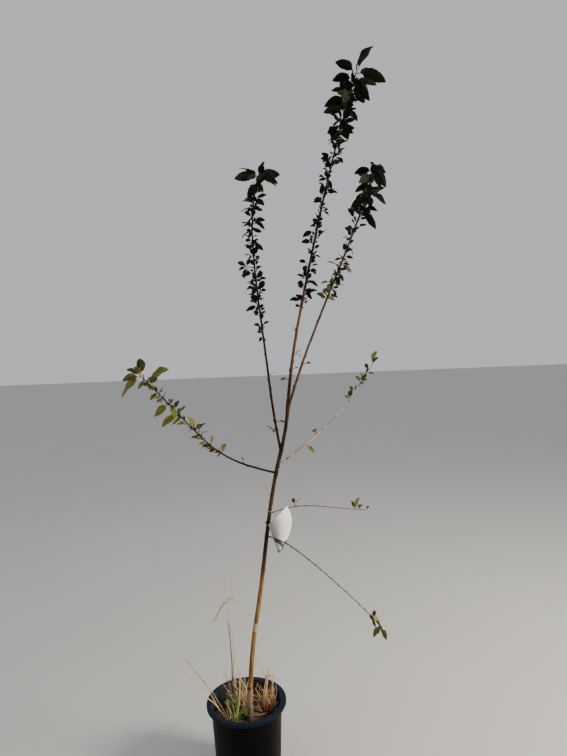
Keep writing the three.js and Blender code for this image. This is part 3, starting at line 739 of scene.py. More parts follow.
@dataclass(frozen=True)
class TagPaper:
    """Off-white paper with painted shade, greyer towards its left edge, along its fold and tail edge and in
    faint stripes over its ripples; dirt specks, and a darker tip at its foot.
    """

    # The paper's own colour, then a colour for painted shade, then a near-black for painted shade along the
    # fold and tail edge and for dirt.
    clean: Colour = (1.0, 0.985, 0.96)
    shade_grey: Colour = (0.15, 0.145, 0.15)
    stain_and_shade: Colour = (0.025, 0.02, 0.022)

    def material(self) -> Material:
        """Makes the paper's material. Marks: share across, share down."""
        paint = Paint("tag_paper", Specular_IOR_Level=0.3)
        across, down, _, _ = paint.marks()
        fibre = paint.noise(900.0, 3.0)
        cloud = paint.noise(30.0, 4.0)
        wander = paint.noise(35.0, 3.0) * 0.2
        # Painted shade: faint diagonal stripes that stand for the shading of the paper's ripples.
        ripple_shading = ((down + across * 0.12 + wander) * 64.0).wave()
        ripple_shading = ripple_shading * across.rise(0.85, 0.45) * down.rise(0.6, 0.3)
        # Painted shade: the paper greys towards its left edge, which faces away from the light.
        shade = across.rise(0.78, 0.0) * 0.74 + cloud.rise(0.45, 0.75) * 0.06 + ripple_shading * 0.07
        paper = paint.mix(shade, self.clean, self.shade_grey)
        # Painted shade along the fold and the tail's right edge; the tip at the foot is darker, and the
        # specks are dirt.
        fold = (across - down * 2.5 + 1.34).size().rise(0.2, 0.09) * down.rise(0.5, 0.58)
        edge = across.rise(0.76, 0.86) * down.rise(0.68, 0.76)
        tip = down.rise(0.86, 0.95) * 0.75
        specks = paint.noise(140.0, 3.0).rise(0.64, 0.7) * down.rise(0.3, 0.45) * across.rise(0.4, 0.5) * 0.3
        shade_and_stains = (fold + edge + tip + specks).least(0.92)
        return paint.finish(paint.mix(shade_and_stains, paper, self.stain_and_shade), 0.62 + fibre * 0.1, fibre, 0.0001)


@dataclass(frozen=True)
class StrawSkin:
    """Dry straw, streaked along its length: brown, ochre, gold or cream, or a red stem."""

    brown: Colour = (0.035, 0.02, 0.012)
    ochre: Colour = (0.2, 0.11, 0.042)
    gold: Colour = (0.54, 0.34, 0.13)
    straw: Colour = (0.74, 0.57, 0.31)
    cream: Colour = (0.84, 0.72, 0.5)
    rust: Colour = (0.34, 0.1, 0.05)
    red: Colour = (0.3, 0.035, 0.03)
    foot_dark: Colour = (0.06, 0.035, 0.02)

    def material(self) -> Material:
        """Makes the straw's material. Marks: tone, share along."""
        paint = Paint("dry_straw", Specular_IOR_Level=0.4)
        tone, along, _, _ = paint.marks()
        streaks = paint.noise(420.0, 3.0, (1.0, 1.0, 0.08))
        stops = [(0.0, self.brown), (0.2, self.ochre), (0.5, self.gold), (0.75, self.straw),
                 (0.88, self.cream), (0.93, self.rust), (1.0, self.red)]
        base = paint.ramp(tone + (streaks - 0.5) * 0.14, stops)
        # Each straw is darker towards its foot.
        foot = paint.mix(along.rise(0.3, 0.0) * 0.75, base, self.foot_dark)
        speckle = paint.noise(150.0, 4.0)
        return paint.finish(paint.darken(foot, 0.72 + speckle * 0.56), 0.5 + speckle * 0.2, streaks)


# The tree


@dataclass
class Limb:
    """A tapering limb that walks from its foot to its tip, as in the part's source."""

    name: str
    length: float
    lean: list[float]
    back: list[float]
    radii: Pair
    bark: BarkKind
    foot: list[float] | None = None
    on: str | None = None
    at: float = 0.0
    leafy: float = 1.0
    seed: int = 1
    points: Array = field(init=False)
    ways: Array = field(init=False)

    def grow(self, limbs: dict[str, "Limb"]) -> None:
        """Walks the limb from the one that carries it."""
        start = limbs[self.on].point(self.at) if self.on else np.array(self.foot)
        if self.at == 1.0:
            start = start + limbs[self.on].ways[-1] * GAP
        self.points, self.ways = walk(start, self.length, self.lean, self.back, STEPS)

    def point(self, share: float) -> Array:
        """The limb's middle at a share of its length."""
        x = min(max(share, 0.0), 1.0) * STEPS
        i = min(int(x), STEPS - 1)
        return self.points[i] + (self.points[i + 1] - self.points[i]) * (x - i)

    def radius(self, share: float | Array) -> float | Array:
        """The radius at a share of its length."""
        return self.radii[0] + (self.radii[1] - self.radii[0]) * share

    def way(self, share: float, turn: float, rise: float) -> Array:
        """A direction: turn goes round the limb from +X, rise is from square to it to its tip."""
        along = self.ways[min(int(min(max(share, 0.0), 1.0) * STEPS), STEPS - 1)]
        across = unit(np.cross(DEPTH, along))
        a, r = math.radians(turn), math.radians(rise)
        out = across * math.cos(a) + np.cross(along, across) * math.sin(a)
        return out * math.cos(r) + along * math.sin(r)

    def rod(self, low: float = 0.0, high: float = 1.0) -> tuple[Array, Array, Array]:
        """The steps between two shares: their starts, ends and radii."""
        first, last = int(low * STEPS), math.ceil(high * STEPS)
        steps = np.arange(first, last)
        return self.points[first:last], self.points[first + 1:last + 1], self.radius(steps / STEPS)


Limbs = dict[str, Limb]


@dataclass(frozen=True)
class Swelling:
    """A place where the trunk is thicker."""

    at: float
    extra: float
    width: float


@dataclass(frozen=True)
class Knob:
    """A cut stub or an old bud on the trunk."""

    at: float
    turn: float
    radius: float
    reach: float
    dark: float = 0.8


@dataclass
class Wood:
    """Every limb's bark, with its buds' scars, swellings, knobs and fine relief.

    The pale graft mark runs between two heights above the soil, on one side of the trunk, and a
    darker band lies further up.
    """

    limbs: Limbs
    flare: float = 3.2
    flare_depth: float = 20.0
    lobes: int = 5
    lobe: float = 1.3
    lobe_depth: float = 14.0
    swellings: tuple[Swelling, ...] = (
        Swelling(0.085, 1.3, 0.018), Swelling(0.767, 1.1, 0.012), Swelling(0.792, 0.9, 0.01),
        Swelling(0.834, 1.2, 0.016), Swelling(0.975, 1.4, 0.022),
    )
    knobs: tuple[Knob, ...] = (
        Knob(0.101, 245.0, 6.2, 2.2, 1.0), Knob(0.612, 176.0, 3.0, 4.6), Knob(0.355, 20.0, 2.6, 1.6, 0.3),
        Knob(0.47, 205.0, 2.4, 1.5, 0.4), Knob(0.235, 150.0, 2.0, 0.9, 0.3), Knob(0.7, 330.0, 2.2, 1.1, 0.4),
    )
    graft: Pair = (308.0, 342.0)
    graft_turn: float = 0.87
    band: float = 640.0
    band_width: float = 26.0
    spacing: float = 2.4
    node_step: float = 27.0
    tip: float = 2.0

    def build(self, barks: dict[BarkKind, Material]) -> None:
        """Makes one bark piece for each limb.

        Args:
            barks: the limbs' finishes.
        """
        for limb in self.limbs.values():
            around = 40 if limb.name == "trunk" else 20 if limb.radii[0] > 3 else 12
            gather = Gather()
            gather.add(*self._bark(limb, around))
            if limb.name != "trunk":
                self._buds(gather, limb)
            slot = "young_bark" if limb.bark in (BarkKind.RED, BarkKind.BROWN) else "bark"
            show(f"{limb.name}_bark", gather, barks[limb.bark], slot, limb.name)

    def _bark(self, limb: Limb, around: int) -> tuple[Array, Array]:
        """The limb's skin.

        The radius at a place is the taper, plus the trunk's own forms, plus two bell curves for
        each bud scar, plus three layers of lattice noise in height and turn, rounded off at the tip.

        Args:
            limb: the limb.
            around: points in a ring.

        Returns:
            The rings, and their marks: share, turn, dark scar, pale scar.
        """
        count = int(limb.length / self.spacing)
        middle = smoothed(even(limb.points, count), 4)
        turns = np.linspace(0.0, 1.0, around, endpoint=False)
        down, turn = np.broadcast_arrays(shares(count)[:, None], turns[None, :])
        length, radius = down * limb.length, limb.radius(down)
        dark, pale = np.zeros(radius.shape), np.zeros(radius.shape)
        on_trunk = limb.name == "trunk"
        if on_trunk:
            radius, dark, pale = self._trunk(limb, radius, down, turn)
        for place, turned in self._nodes(limb):
            near = turn_gap(turn, turned / 360.0) * TURN * radius
            size = 0.9 + 0.22 * limb.radius(place / limb.length)
            bump = bell((length - place) / (1.9 * size), near / (1.5 * size))
            ridge = bell((length - place + 1.4) / 1.1, near / (2.4 * size))
            radius = radius + (bump * 0.75 + ridge * 0.35) * size * (0.55 if on_trunk else 1.0)
            dark = np.maximum(dark, ridge * 0.8)
        coarse = Grain(limb.seed, max(4, int(limb.length / 40)), 5).at(down, turn)
        medium = Grain(limb.seed + 1, max(6, int(limb.length / 12)), 9).at(down, turn)
        fine = Grain(limb.seed + 2, max(8, int(limb.length / 4)), 20).at(down, turn)
        radius = radius + limb.radius(down) * (coarse * 0.045 + medium * 0.028 + fine * 0.014)
        near_tip = ((length - limb.length + self.tip) / self.tip).clip(0.0)
        radius = radius * np.sqrt(np.clip(1.0 - near_tip ** 2, 0.03, 1.0))
        return tube(middle[None], radius[None], around), np.stack([down, turn, dark, pale], axis=-1)[None]

    def _trunk(self, trunk: Limb, radius: Array, down: Array, turn: Array) -> tuple[Array, Array, Array]:
        """The trunk's own forms.

        A flare and its lobes die away with height above the soil by e to a power, and a bell
        curve stands for each swelling and each knob.

        Args:
            trunk: the trunk.
            radius: its plain radius at each place.
            down: how far along each place is.
            turn: the turn of each place.

        Returns:
            The radius, the dark marks and the pale marks.
        """
        length = down * trunk.length
        radius = radius + self.flare * np.exp(-length / self.flare_depth)
        lobes = 0.5 + 0.5 * np.cos(TURN * (turn * self.lobes + 0.2))
        radius = radius + lobes * self.lobe * np.exp(-length / self.lobe_depth)
        for swelling in self.swellings:
            radius = radius + swelling.extra * bell((down - swelling.at) / swelling.width)
        dark = np.zeros(radius.shape)
        for knob in self.knobs:
            shape = self._knob(trunk, knob, radius, down, turn)
            dark = np.maximum(dark, shape * knob.dark)
            radius = radius + shape * knob.reach
        low, high = self.graft
        pale = ease((length - low) / 4.0) * ease((high - length) / 5.0)
        pale = pale * ease((0.3 - turn_gap(turn, self.graft_turn)) / 0.06) * 0.8
        dark = np.maximum(dark, bell((length - self.band) / self.band_width) * 0.5)
        return radius, dark, pale

    @staticmethod
    def _knob(limb: Limb, knob: Knob, radius: Array, down: Array, turn: Array) -> Array:
        """A flat-topped bell round a knob's place: e to minus the fourth power of the distance."""
        near = turn_gap(turn, knob.turn / 360.0) * TURN * radius
        away = np.hypot((down - knob.at) * limb.length, near) / knob.radius
        return np.exp(-(away ** 4))

    def _nodes(self, limb: Limb) -> list[Pair]:
        """The places of a limb's bud scars: how far along, and the turn."""
        chance = Chance(limb.seed * 31 + 7)
        places, length, turn = [], 14.0, 0.0
        while length < limb.length - 8.0:
            turn += GOLDEN + chance.between(-15, 15)
            places.append((length, turn % 360.0))
            length += self.node_step * chance.between(0.7, 1.3)
        return places

    def _buds(self, gather: Gather, limb: Limb) -> None:
        """Pointed buds that lie against the bare part of a limb.

        A bud's radius follows the sine of half a turn times the share to the power 0.75, and that
        sine is raised to the power 0.7.
        """
        starts, ends, sizes = [], [], []
        for length, turn in self._nodes(limb):
            share = length / limb.length
            if share > limb.leafy + 0.05:
                break
            out = limb.way(share, turn, 0.0)
            size = 0.75 + 0.12 * limb.radius(share)
            start = limb.point(share) + out * limb.radius(share) * 0.75
            starts.append(start)
            ends.append(start + (limb.way(share, turn, 62.0) * 4.6 + out * 0.8) * size)
            sizes.append(1.25 * size)
        if not starts:
            return
        share = shares(6)
        path = np.array(starts)[:, None] + (np.array(ends) - np.array(starts))[:, None] * share[:, None]
        shape = np.sin(np.pi * np.clip(share, 0.02, 0.985) ** 0.75) ** 0.7
        radii = np.array(sizes)[:, None] * shape
        gather.add(tube(path, radii[..., None], 6), (0.5, 0.5, 0.55, 0.0))


@dataclass
class Leaf:
    """One leaf's place: the end of its spur, its direction, length, roll and colour."""

    start: Array
    along: Array
    length: float
    roll: float
    tone: float = 0.3
    side: Array = field(init=False)
    face: Array = field(init=False)
    base: Array = field(init=False)
    corners: Array = field(init=False)
    middle: Array = field(init=False)

    def __post_init__(self) -> None:
        """Works out the leaf's own directions, as the part's source does."""
        side = np.cross(self.along, UP)
        side = DEPTH if side @ side < 1e-4 else unit(side)
        angle = math.radians(self.roll)
        self.side = side * math.cos(angle) + np.cross(side, self.along) * math.sin(angle)
        self.face = np.cross(self.side, self.along)
        self.base = self.start + self.along * LEAF.stalk * self.length
        edge = LEAF.small_edge if self.length < LEAF.small else LEAF.edge
        self.corners = np.array([self.at(a, b) for a, b in edge] + [self.base])
        self.middle = self.at(0.5, 0.0)

    def at(self, a: float, b: float) -> Array:
        """A point of the plain blade, a of its length along and b half widths across."""
        size = self.length
        flat = self.base + self.along * size * a + self.side * size * LEAF.slim * b
        return flat + self.face * size * LEAF.fold * abs(b) - UP * size * LEAF.droop * a * a


def spread(leaves: list[Leaf], key: str, axes: int) -> Array:
    """One field of every leaf, with that many empty axes after the first."""
    values = np.array([getattr(leaf, key) for leaf in leaves])
    return values.reshape(len(leaves), *[1] * axes, *values.shape[1:])


@dataclass(frozen=True)
class LeafShape:
    """The shape that all leaves share, as shares of a leaf's length."""

    slim: float = 0.25
    fold: float = 0.07
    stalk: float = 0.25
    droop: float = 0.2
    small: float = 44.0
    edge: tuple = ((0.28, 1.0), (0.66, 0.84), (1.0, 0.0), (0.66, -0.84), (0.28, -1.0))
    small_edge: tuple = ((0.4, 1.06), (1.0, 0.0), (0.4, -1.06))
    thick: float = 0.45
    rows: int = 12
    notch: float = 0.07
    curl: float = 0.05
    ripple: float = 0.03
    twist: float = 0.2
    ribs: tuple = (0.12, 0.36, 0.6, 0.82)

    def blades(self, leaves: list[Leaf]) -> tuple[Array, Array]:
        """All blades at once, each a thin closed loft of four-cornered rings from stalk to tip.

        The half width follows a to the power 0.6 times (1 - a) to the power 0.8, divided by its
        own largest value, and every other ring is notched. The blade folds up from its rib, droops
        with the square of a, curls down at the tip, waves along its edge and twists.

        Args:
            leaves: the leaves.

        Returns:
            The rings, and their marks: tone, share along, share across, underside.
        """
        size, roll, tone = (spread(leaves, key, 2) for key in ("length", "roll", "tone"))
        base, along, side, face = (spread(leaves, key, 2) for key in ("base", "along", "side", "face"))
        phase = (roll * 0.37 + size) % 1.0
        a = (shares(self.rows) ** 0.95)[None, :, None]
        b = np.array([-1.0, 0.0, 1.0, 0.0])[None, None, :]
        under = np.array([0.0, 0.0, 0.0, 1.0])[None, None, :]
        width = (np.clip(a, 1e-3, 1) ** 0.6) * (np.clip(1.0 - a, 4e-4, 1) ** 0.8) / 0.3838
        notched = 1.0 - self.notch * (np.arange(self.rows) % 2)[None, :, None]
        half = width * notched * 1.07
        wave = self.ripple * np.sin(TURN * (a * 1.6 + phase)) * np.abs(b)
        twist = self.twist * (phase - 0.5) * a * b
        skin = self.thick / size * np.where(b == 0.0, 0.5 - under, 0.0) * np.ones_like(a)
        rise = (self.fold * np.clip(width, 0, 1) * np.abs(b) + (wave + twist) * width) + skin
        drop = self.droop * a ** 2 + self.curl * a ** 5
        points = (base + along * (size * a)[..., None] + side * (size * self.slim * half * b)[..., None]
                  + face * (size * rise)[..., None] - UP * (size * drop)[..., None])
        marks = np.broadcast_arrays(tone, a, b * 0.5 + 0.5, under)
        return points, np.stack(marks, axis=-1)

    def stalks(self, leaves: list[Leaf]) -> tuple[Array, Array]:
        """Each leaf's four-sided stalk, bowed a little, which runs on as a rib under the blade.

        Args:
            leaves: the leaves.

        Returns:
            The rings, and their marks: a reddish stalk, or on a dark leaf one darkened by painted shade.
        """
        share = shares(4)[None, :]
        start, base, size, face = (spread(leaves, key, 1) for key in ("start", "base", "length", "face"))
        sag = UP * bend(share, 0.012)[..., None] * size[..., None]
        first = start + (base - start) * share[..., None] - sag
        a = np.array(self.ribs)
        ribs = np.stack([np.array([leaf.at(x, 0.0) for leaf in leaves]) for x in a], axis=1)
        ribs = ribs - face * (0.0042 * size * (1.0 - a))[..., None]
        ribs = ribs - UP * (self.curl * size * a ** 5)[..., None]
        path = np.concatenate([first, ribs], axis=1)
        thin = np.array([1.0, 1.0, 1.0, 1.0, 0.8, 0.6, 0.45, 0.25])[None, :]
        radii = (0.5 + 0.006 * size) * thin
        # A stalk on a dark leaf is painted dark, as its leaf is: painted shade.
        tone = np.where(spread(leaves, "tone", 2) > 0.3, 0.93, 0.12)
        marks = np.stack(np.broadcast_arrays(tone, 0.5, 0.5, 0.35), axis=-1)
        return tube(path, radii[..., None], 4), marks


LEAF = LeafShape()


@dataclass(frozen=True)
class Stretch:
    """A stretch of a limb whose spurs are drawn from one seed."""

    to: float
    step: float
    tuft: int
    leaf: float
    spur: float
    seed: int


@dataclass
class Spurs:
    """Spurs and the leaves that they carry."""

    feet: list[Array] = field(default_factory=list)
    ends: list[Array] = field(default_factory=list)
    leaves: list[Leaf] = field(default_factory=list)
    radius: float = 1.55
    taper: float = 0.45
    bud: tuple = (0.55, 1.2, 1.35, 0.9, 0.2)

    @staticmethod
    def grow(
        limb: Limb, share: float, turn: float, count: int, spur: float, leaf: float, chance: Chance
    ) -> tuple[Array, Array, list[Leaf]]:
        """One spur's foot, end and leaves, drawn as in the part's source.

        Args:
            limb: the limb that the spur stands on.
            share: how far along it.
            turn: the spur's turn round it.
            count: how many leaves it has.
            spur: how far it stands out.
            leaf: the leaves' usual length.
            chance: the row of numbers.

        Returns:
            The foot, the end and the leaves.
        """
        foot = limb.point(share)
        end = foot + limb.way(share, turn, 35.0) * (limb.radius(share) + spur)
        leaves = []
        for k in range(count):
            side = turn + (k - (count - 1) / 2) * 60 + chance.between(-20, 20)
            rise = chance.between(-25, 60)
            length = leaf * chance.between(0.6, 1.25)
            leaves.append(Leaf(end, limb.way(share, side, rise), length, chance.between(-65, 65)))
        return foot, end, leaves

    def keep(self, foot: Array, end: Array, leaves: list[Leaf]) -> None:
        """Keeps a spur with its leaves."""
        if leaves:
            self.feet.append(foot)
            self.ends.append(end)
            self.leaves.extend(leaves)

    def gather(self, leaves: Gather, twigs: Gather) -> None:
        """Builds the leaves, their stalks, the spurs and a bud at each spur's end.

        A spur's radius falls evenly with its share and swells with two waves of a cosine, and a
        bud goes through five given radii.

        Args:
            leaves: what gathers the blades and stalks.
            twigs: what gathers the spurs and buds.
        """
        leaves.add(*LEAF.blades(self.leaves))
        leaves.add(*LEAF.stalks(self.leaves))
        if not self.feet:
            return
        foot, end = np.array(self.feet)[:, None], np.array(self.ends)[:, None]
        share = shares(5)
        spur = (self.radius - self.taper * share) * (1.0 + 0.13 * np.cos(share * 4 * np.pi))
        path = foot + (end - foot) * share[:, None]
        twigs.add(tube(path, spur[:, None], 6), (0.5, 0.5, 0.25, 0.0))
        path = end + (unit(end - foot) * 3.2 + (end - foot) * 0.12) * share[:, None]
        twigs.add(tube(path, np.array(self.bud)[:, None], 6), (0.5, 0.5, 0.6, 0.0))


def tint(leaves: list[Leaf], tones: Pair, aged: float, seed: int) -> None:
    """Deals a tone out to each leaf, and a yellow or brown one to the aged share of them."""
    dice = np.random.default_rng(seed)
    for leaf in leaves:
        old = dice.random() < aged
        leaf.tone = float(dice.uniform(0.75, 0.97) if old else dice.uniform(*tones))


def crowded(leaf: Leaf, kept: list[Leaf], crowd: float) -> bool:
    """Whether a leaf's middle lies too near that of a kept one, as a share of their lengths."""
    return any(np.linalg.norm(leaf.middle - other.middle) < crowd * (leaf.length + other.length)
               for other in kept)


@dataclass
class Foliage:
    """A mass of foliage: the leaves and spurs of a limb's leafy end.

    Placed leaves have a share along the limb, a turn, a rise, a length and a roll. The amount of
    painted sunlight lightens the leaves in the lower half of the mass, most at its foot.
    """

    name: str
    limb: str
    placed: list[tuple[float, float, float, float, float]]
    stretches: list[Stretch] = field(default_factory=list)
    # The default tones give near-black leaves: painted shade for the masses of the crown.
    tones: Pair = (0.0, 0.26)
    aged: float = 0.0
    painted_sun: float = 0.0
    crowd: float = 0.17
    first_spur: float = 6.0
    clear: float = 2.0
    apart: float = 3.0
    young: float = 0.9
    young_crowd: float = 0.1
    young_size: Pair = (0.45, 0.9)
    short: Pair = (13.0, 29.0)
    between: float = 8.0

    def build(self, limbs: Limbs, leaf: Material, barks: dict[BarkKind, Material]) -> None:
        """Makes the mass's leaves and its twigs.

        Args:
            limbs: every limb of the tree.
            leaf: the leaf's material.
            barks: the limbs' finishes.
        """
        limb = limbs[self.limb]
        spurs = Spurs()
        kept: list[Leaf] = []

        def fits(each: Leaf) -> bool:
            """Keeps a leaf that stays in its limb's space and off the leaves before it."""
            if not self._in_space(each, limb, limbs) or crowded(each, kept, self.crowd):
                return False
            kept.append(each)
            return True

        for share, turn, rise, length, roll in self.placed:
            each = Leaf(limb.point(share), limb.way(share, turn, rise), length, roll)
            if fits(each):
                spurs.leaves.append(each)
        start = limb.leafy + self.first_spur / limb.length
        for stretch in self.stretches:
            chance = Chance(stretch.seed)
            turn, share = 0.0, start
            while share < stretch.to:
                turn += GOLDEN + chance.between(-30, 30)
                count = 1 + math.floor(stretch.tuft * chance.next())
                reach = stretch.spur * chance.between(0.3, 1.2)
                foot, end, leaves = spurs.grow(limb, share, turn, count, reach, stretch.leaf, chance)
                spurs.keep(foot, end, [each for each in leaves if fits(each)])
                share += stretch.step * chance.between(0.6, 1.4) / limb.length
            start = stretch.to
        spurs.leaves.extend(self._young(limb, limbs, kept))
        tint(spurs.leaves, self.tones, self.aged, len(self.placed) + 5)
        low, high = (limb.point(share)[2] for share in (limb.leafy, 1.0))
        # Painted sunlight: leaves low in the mass get a paler tone.
        for each in spurs.leaves:
            each.tone += self.painted_sun * max(0.0, 1.0 - (each.start[2] - low) / (0.5 * (high - low)))
        blades, twigs = Gather(), Gather()
        spurs.gather(blades, twigs)
        show(f"{self.name}_leaves", blades, leaf, "leaf", self.name, edge=LEAF_EDGE)
        if spurs.feet:
            show(f"{self.name}_spurs", twigs, barks[limb.bark], "bark", self.name)

    def _in_space(self, leaf: Leaf, limb: Limb, limbs: Limbs) -> bool:
        """Whether a leaf is nearer to its own limb than to any other, and off its bare part."""
        own = np.maximum(distance(leaf.corners, *limb.rod(limb.leafy, 1.0)), self.clear)
        off = distance(leaf.corners, *limb.rod(0.0, limb.leafy)) > self.clear
        others = [other for other in limbs.values() if other is not limb]
        apart = [distance(leaf.corners, *other.rod()) > own + self.apart for other in others]
        return bool(off.all() and np.all(apart))

    def _young(self, limb: Limb, limbs: Limbs, kept: list[Leaf]) -> list[Leaf]:
        """Smaller leaves that fill in the mass and never reach past it.

        Most kept leaves have a shorter one beside them from the same start, and short leaves
        stand close along the limb from one end of the mass to the other.

        Args:
            limb: the mass's own limb.
            limbs: every limb of the tree.
            kept: the leaves kept so far.

        Returns:
            The leaves that fit.
        """
        dice = np.random.default_rng(len(self.name) * 7 + len(kept))

        def facing() -> float:
            """A roll that turns a leaf's face well to one side."""
            return float(dice.choice([-1.0, 1.0]) * dice.uniform(30.0, 88.0))

        tried = []
        for other in kept:
            if dice.random() < self.young:
                along = unit(other.along + 0.85 * dice.normal(0.0, 0.6, 3))
                size = other.length * dice.uniform(*self.young_size)
                tried.append(Leaf(other.start, along, float(size), facing()))
        for share in np.arange(limb.leafy + 0.02, 0.985, self.between / limb.length):
            turn, rise = dice.uniform(0, 360), dice.uniform(15, 75)
            start = limb.point(share) + limb.way(share, turn, 0.0) * limb.radius(share)
            size = float(dice.uniform(*self.short))
            tried.append(Leaf(start, limb.way(share, turn, rise), size, facing()))
        low, high = (np.array(corner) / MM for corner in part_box(self.name))
        young: list[Leaf] = []
        for each in tried:
            inside = np.all((each.corners > low) & (each.corners < high))
            taken = kept + young
            if inside and self._in_space(each, limb, limbs) and not crowded(each, taken, self.young_crowd):
                young.append(each)
        return young


@dataclass(frozen=True)
class Tuft:
    """A single spur with a few leaves on the bare part of a limb."""

    limb: str
    at: float
    turn: float
    leaves: int
    leaf: float
    seed: int
    spur: float = 7.0
    tones: Pair = (0.5, 0.66)

    def build(self, number: int, limbs: Limbs, leaf: Material) -> None:
        """Makes the tuft's leaves and its spur."""
        spurs = Spurs()
        limb = limbs[self.limb]
        chance = Chance(self.seed)
        foot, end, leaves = spurs.grow(limb, self.at, self.turn, self.leaves, self.spur, self.leaf, chance)
        spurs.keep(foot + unit(end - foot) * limb.radius(self.at) * SEAT, end, leaves)
        tint(leaves, self.tones, 0.0, self.seed)
        blades = Gather()
        spurs.gather(blades, blades)
        name = f"tuft_{number}"
        show(f"{name}_leaves", blades, leaf, "leaf", name, edge=LEAF_EDGE)


@dataclass(frozen=True)
class Spray:
    """A fine side twig with leaves, each given by its reach from the twig's end and its roll."""

    limb: str
    at: float
    twig: Triple
    blades: list[tuple[Triple, float]]
    tones: Pair

    def build(self, number: int, limbs: Limbs, leaf: Material) -> None:
        """Makes the spray as one piece."""
        spurs = Spurs()
        limb = limbs[self.limb]
        twig = np.array(self.twig)
        foot = limb.point(self.at) + unit(twig) * limb.radius(self.at) * SEAT
        end = foot + twig
        leaves = [Leaf(end, unit(np.array(reach)), math.hypot(*reach), roll) for reach, roll in self.blades]
        spurs.keep(foot, end, leaves)
        tint(leaves, self.tones, 0.0, number)
        blades = Gather()
        spurs.gather(blades, blades)
        show(f"spray_{number}", blades, leaf, "leaf", edge=LEAF_EDGE)


# The pot and what is in it


@dataclass
class NurseryPot:
    """The tapering pot: a rolled rim with a skirt that hangs clear of the wall, drain holes."""

    height: float = 270.0
    rim: float = 140.0
    mouth: float = 122.0
    neck: float = 124.6
    foot: float = 111.0
    wall: float = 2.2
    floor: float = 3.0
    skirt: float = 11.0
    lip: float = 1.1
    bead: float = 2.4
    ridge: float = 0.25
    ridge_step: float = 9.0
    drains: int = 6
    drain_radius: float = 8.0
    drain_height: float = 15.0
    around: int = 180

    def side(self, z: float) -> float:
        """The wall's outer radius at a height."""
        return self.foot + (self.neck - self.foot) * z / (self.height - self.wall)

    def profile(self) -> list[Pair]:
        """The pot's outline from the middle of its underside, round its rim, to its floor.

        The outer wall tapers evenly and has faint ridges, the sine of the height to the power 8.
        """
        under, skirt, top = self.height - self.wall, self.height - self.skirt, self.height - self.bead
        foot, neck, rim, floor = self.foot, self.neck, self.rim, self.floor
        lip, bead = self.lip, self.bead
        roll = [(math.cos(math.radians(a)), math.sin(math.radians(a))) for a in range(0, 181, 20)]
        outer = [(self.side(z) + self.ridge * math.sin(z / self.ridge_step) ** 8, z)
                 for z in np.linspace(4.5, under - 2.5, 70)]
        return [
            (0.5, 0.0), (foot - 26.0, 0.0), (foot - 3.0, 0.0), (foot - 0.8, 0.9), (foot, 3.0),
            *outer, (neck + 0.6, under - 0.6), (neck + 3.0, under),
            (rim - self.wall - 1.0, under), (rim - self.wall, under - 1.0),
            *[(rim - lip + lip * c, skirt + lip - lip * s) for c, s in reversed(roll)],
            (rim, self.height - 6.0),
            *[(rim - bead + bead * c, top + bead * s) for c, s in roll[:5]],
            (rim - 9.0, self.height),
            *[(self.mouth + bead + bead * c, top + bead * s) for c, s in roll[4:]],
            (self.mouth + 0.2, self.height - 5.0), (neck - self.wall, under - 6.0),
            *[(self.side(z) - self.wall, z) for z in np.linspace(under - 20.0, 12.0, 24)],
            (foot - self.wall - 1.0, floor + 3.0), (foot - self.wall - 5.0, floor), (0.5, floor),
        ]

    def build(self) -> None:
        """Turns the pot, cuts its drain holes and dresses it.

        The wall is pushed in and out by lattice noise that grows with height.
        """
        body = Gather()
        rings = lathe(self.profile(), self.around)
        turn = np.arctan2(rings[..., 1], rings[..., 0]) / TURN % 1.0
        dents = Grain(61, 9, 9).at(rings[..., 2] / self.height, turn) * 0.35
        high = np.clip(rings[..., 2] / self.height, 0, 1)
        flat = unit(rings * np.array([1.0, 1.0, 0.0]))
        off_floor = ease((np.hypot(rings[..., 0], rings[..., 1]) - 60.0) / 30.0)
        body.add(rings + flat * (dents * high * off_floor)[..., None])
        pot = show("nursery_pot", body, PotPlastic().material(), "pot", "pot")
        tool = stand("drain_cutter", self._drains().mesh("drain_cutter"))
        holes = pot.modifiers.new("drains", "BOOLEAN")
        holes.object, holes.operation, holes.solver = tool, "DIFFERENCE", "EXACT"
        cut = bpy.data.meshes.new_from_object(pot.evaluated_get(bpy.context.evaluated_depsgraph_get()))
        pot.modifiers.clear()
        pot.data = cut
        cut.set_sharp_from_angle(angle=math.radians(38.0))
        bpy.data.objects.remove(tool)

    def _drains(self) -> Gather:
        """Rods through the foot of the wall that cut the drain holes."""
        spin = (np.arange(self.drains) + 0.5) / self.drains * TURN
        out = np.stack([np.cos(spin), np.sin(spin), 0 * spin], axis=-1)
        reach = np.array([-12.0, 12.0])[:, None] + self.foot
        rods = Gather()
        rods.add(tube(out[:, None] * reach[None] + UP * self.drain_height, np.array(self.drain_radius), 28))
        return rods


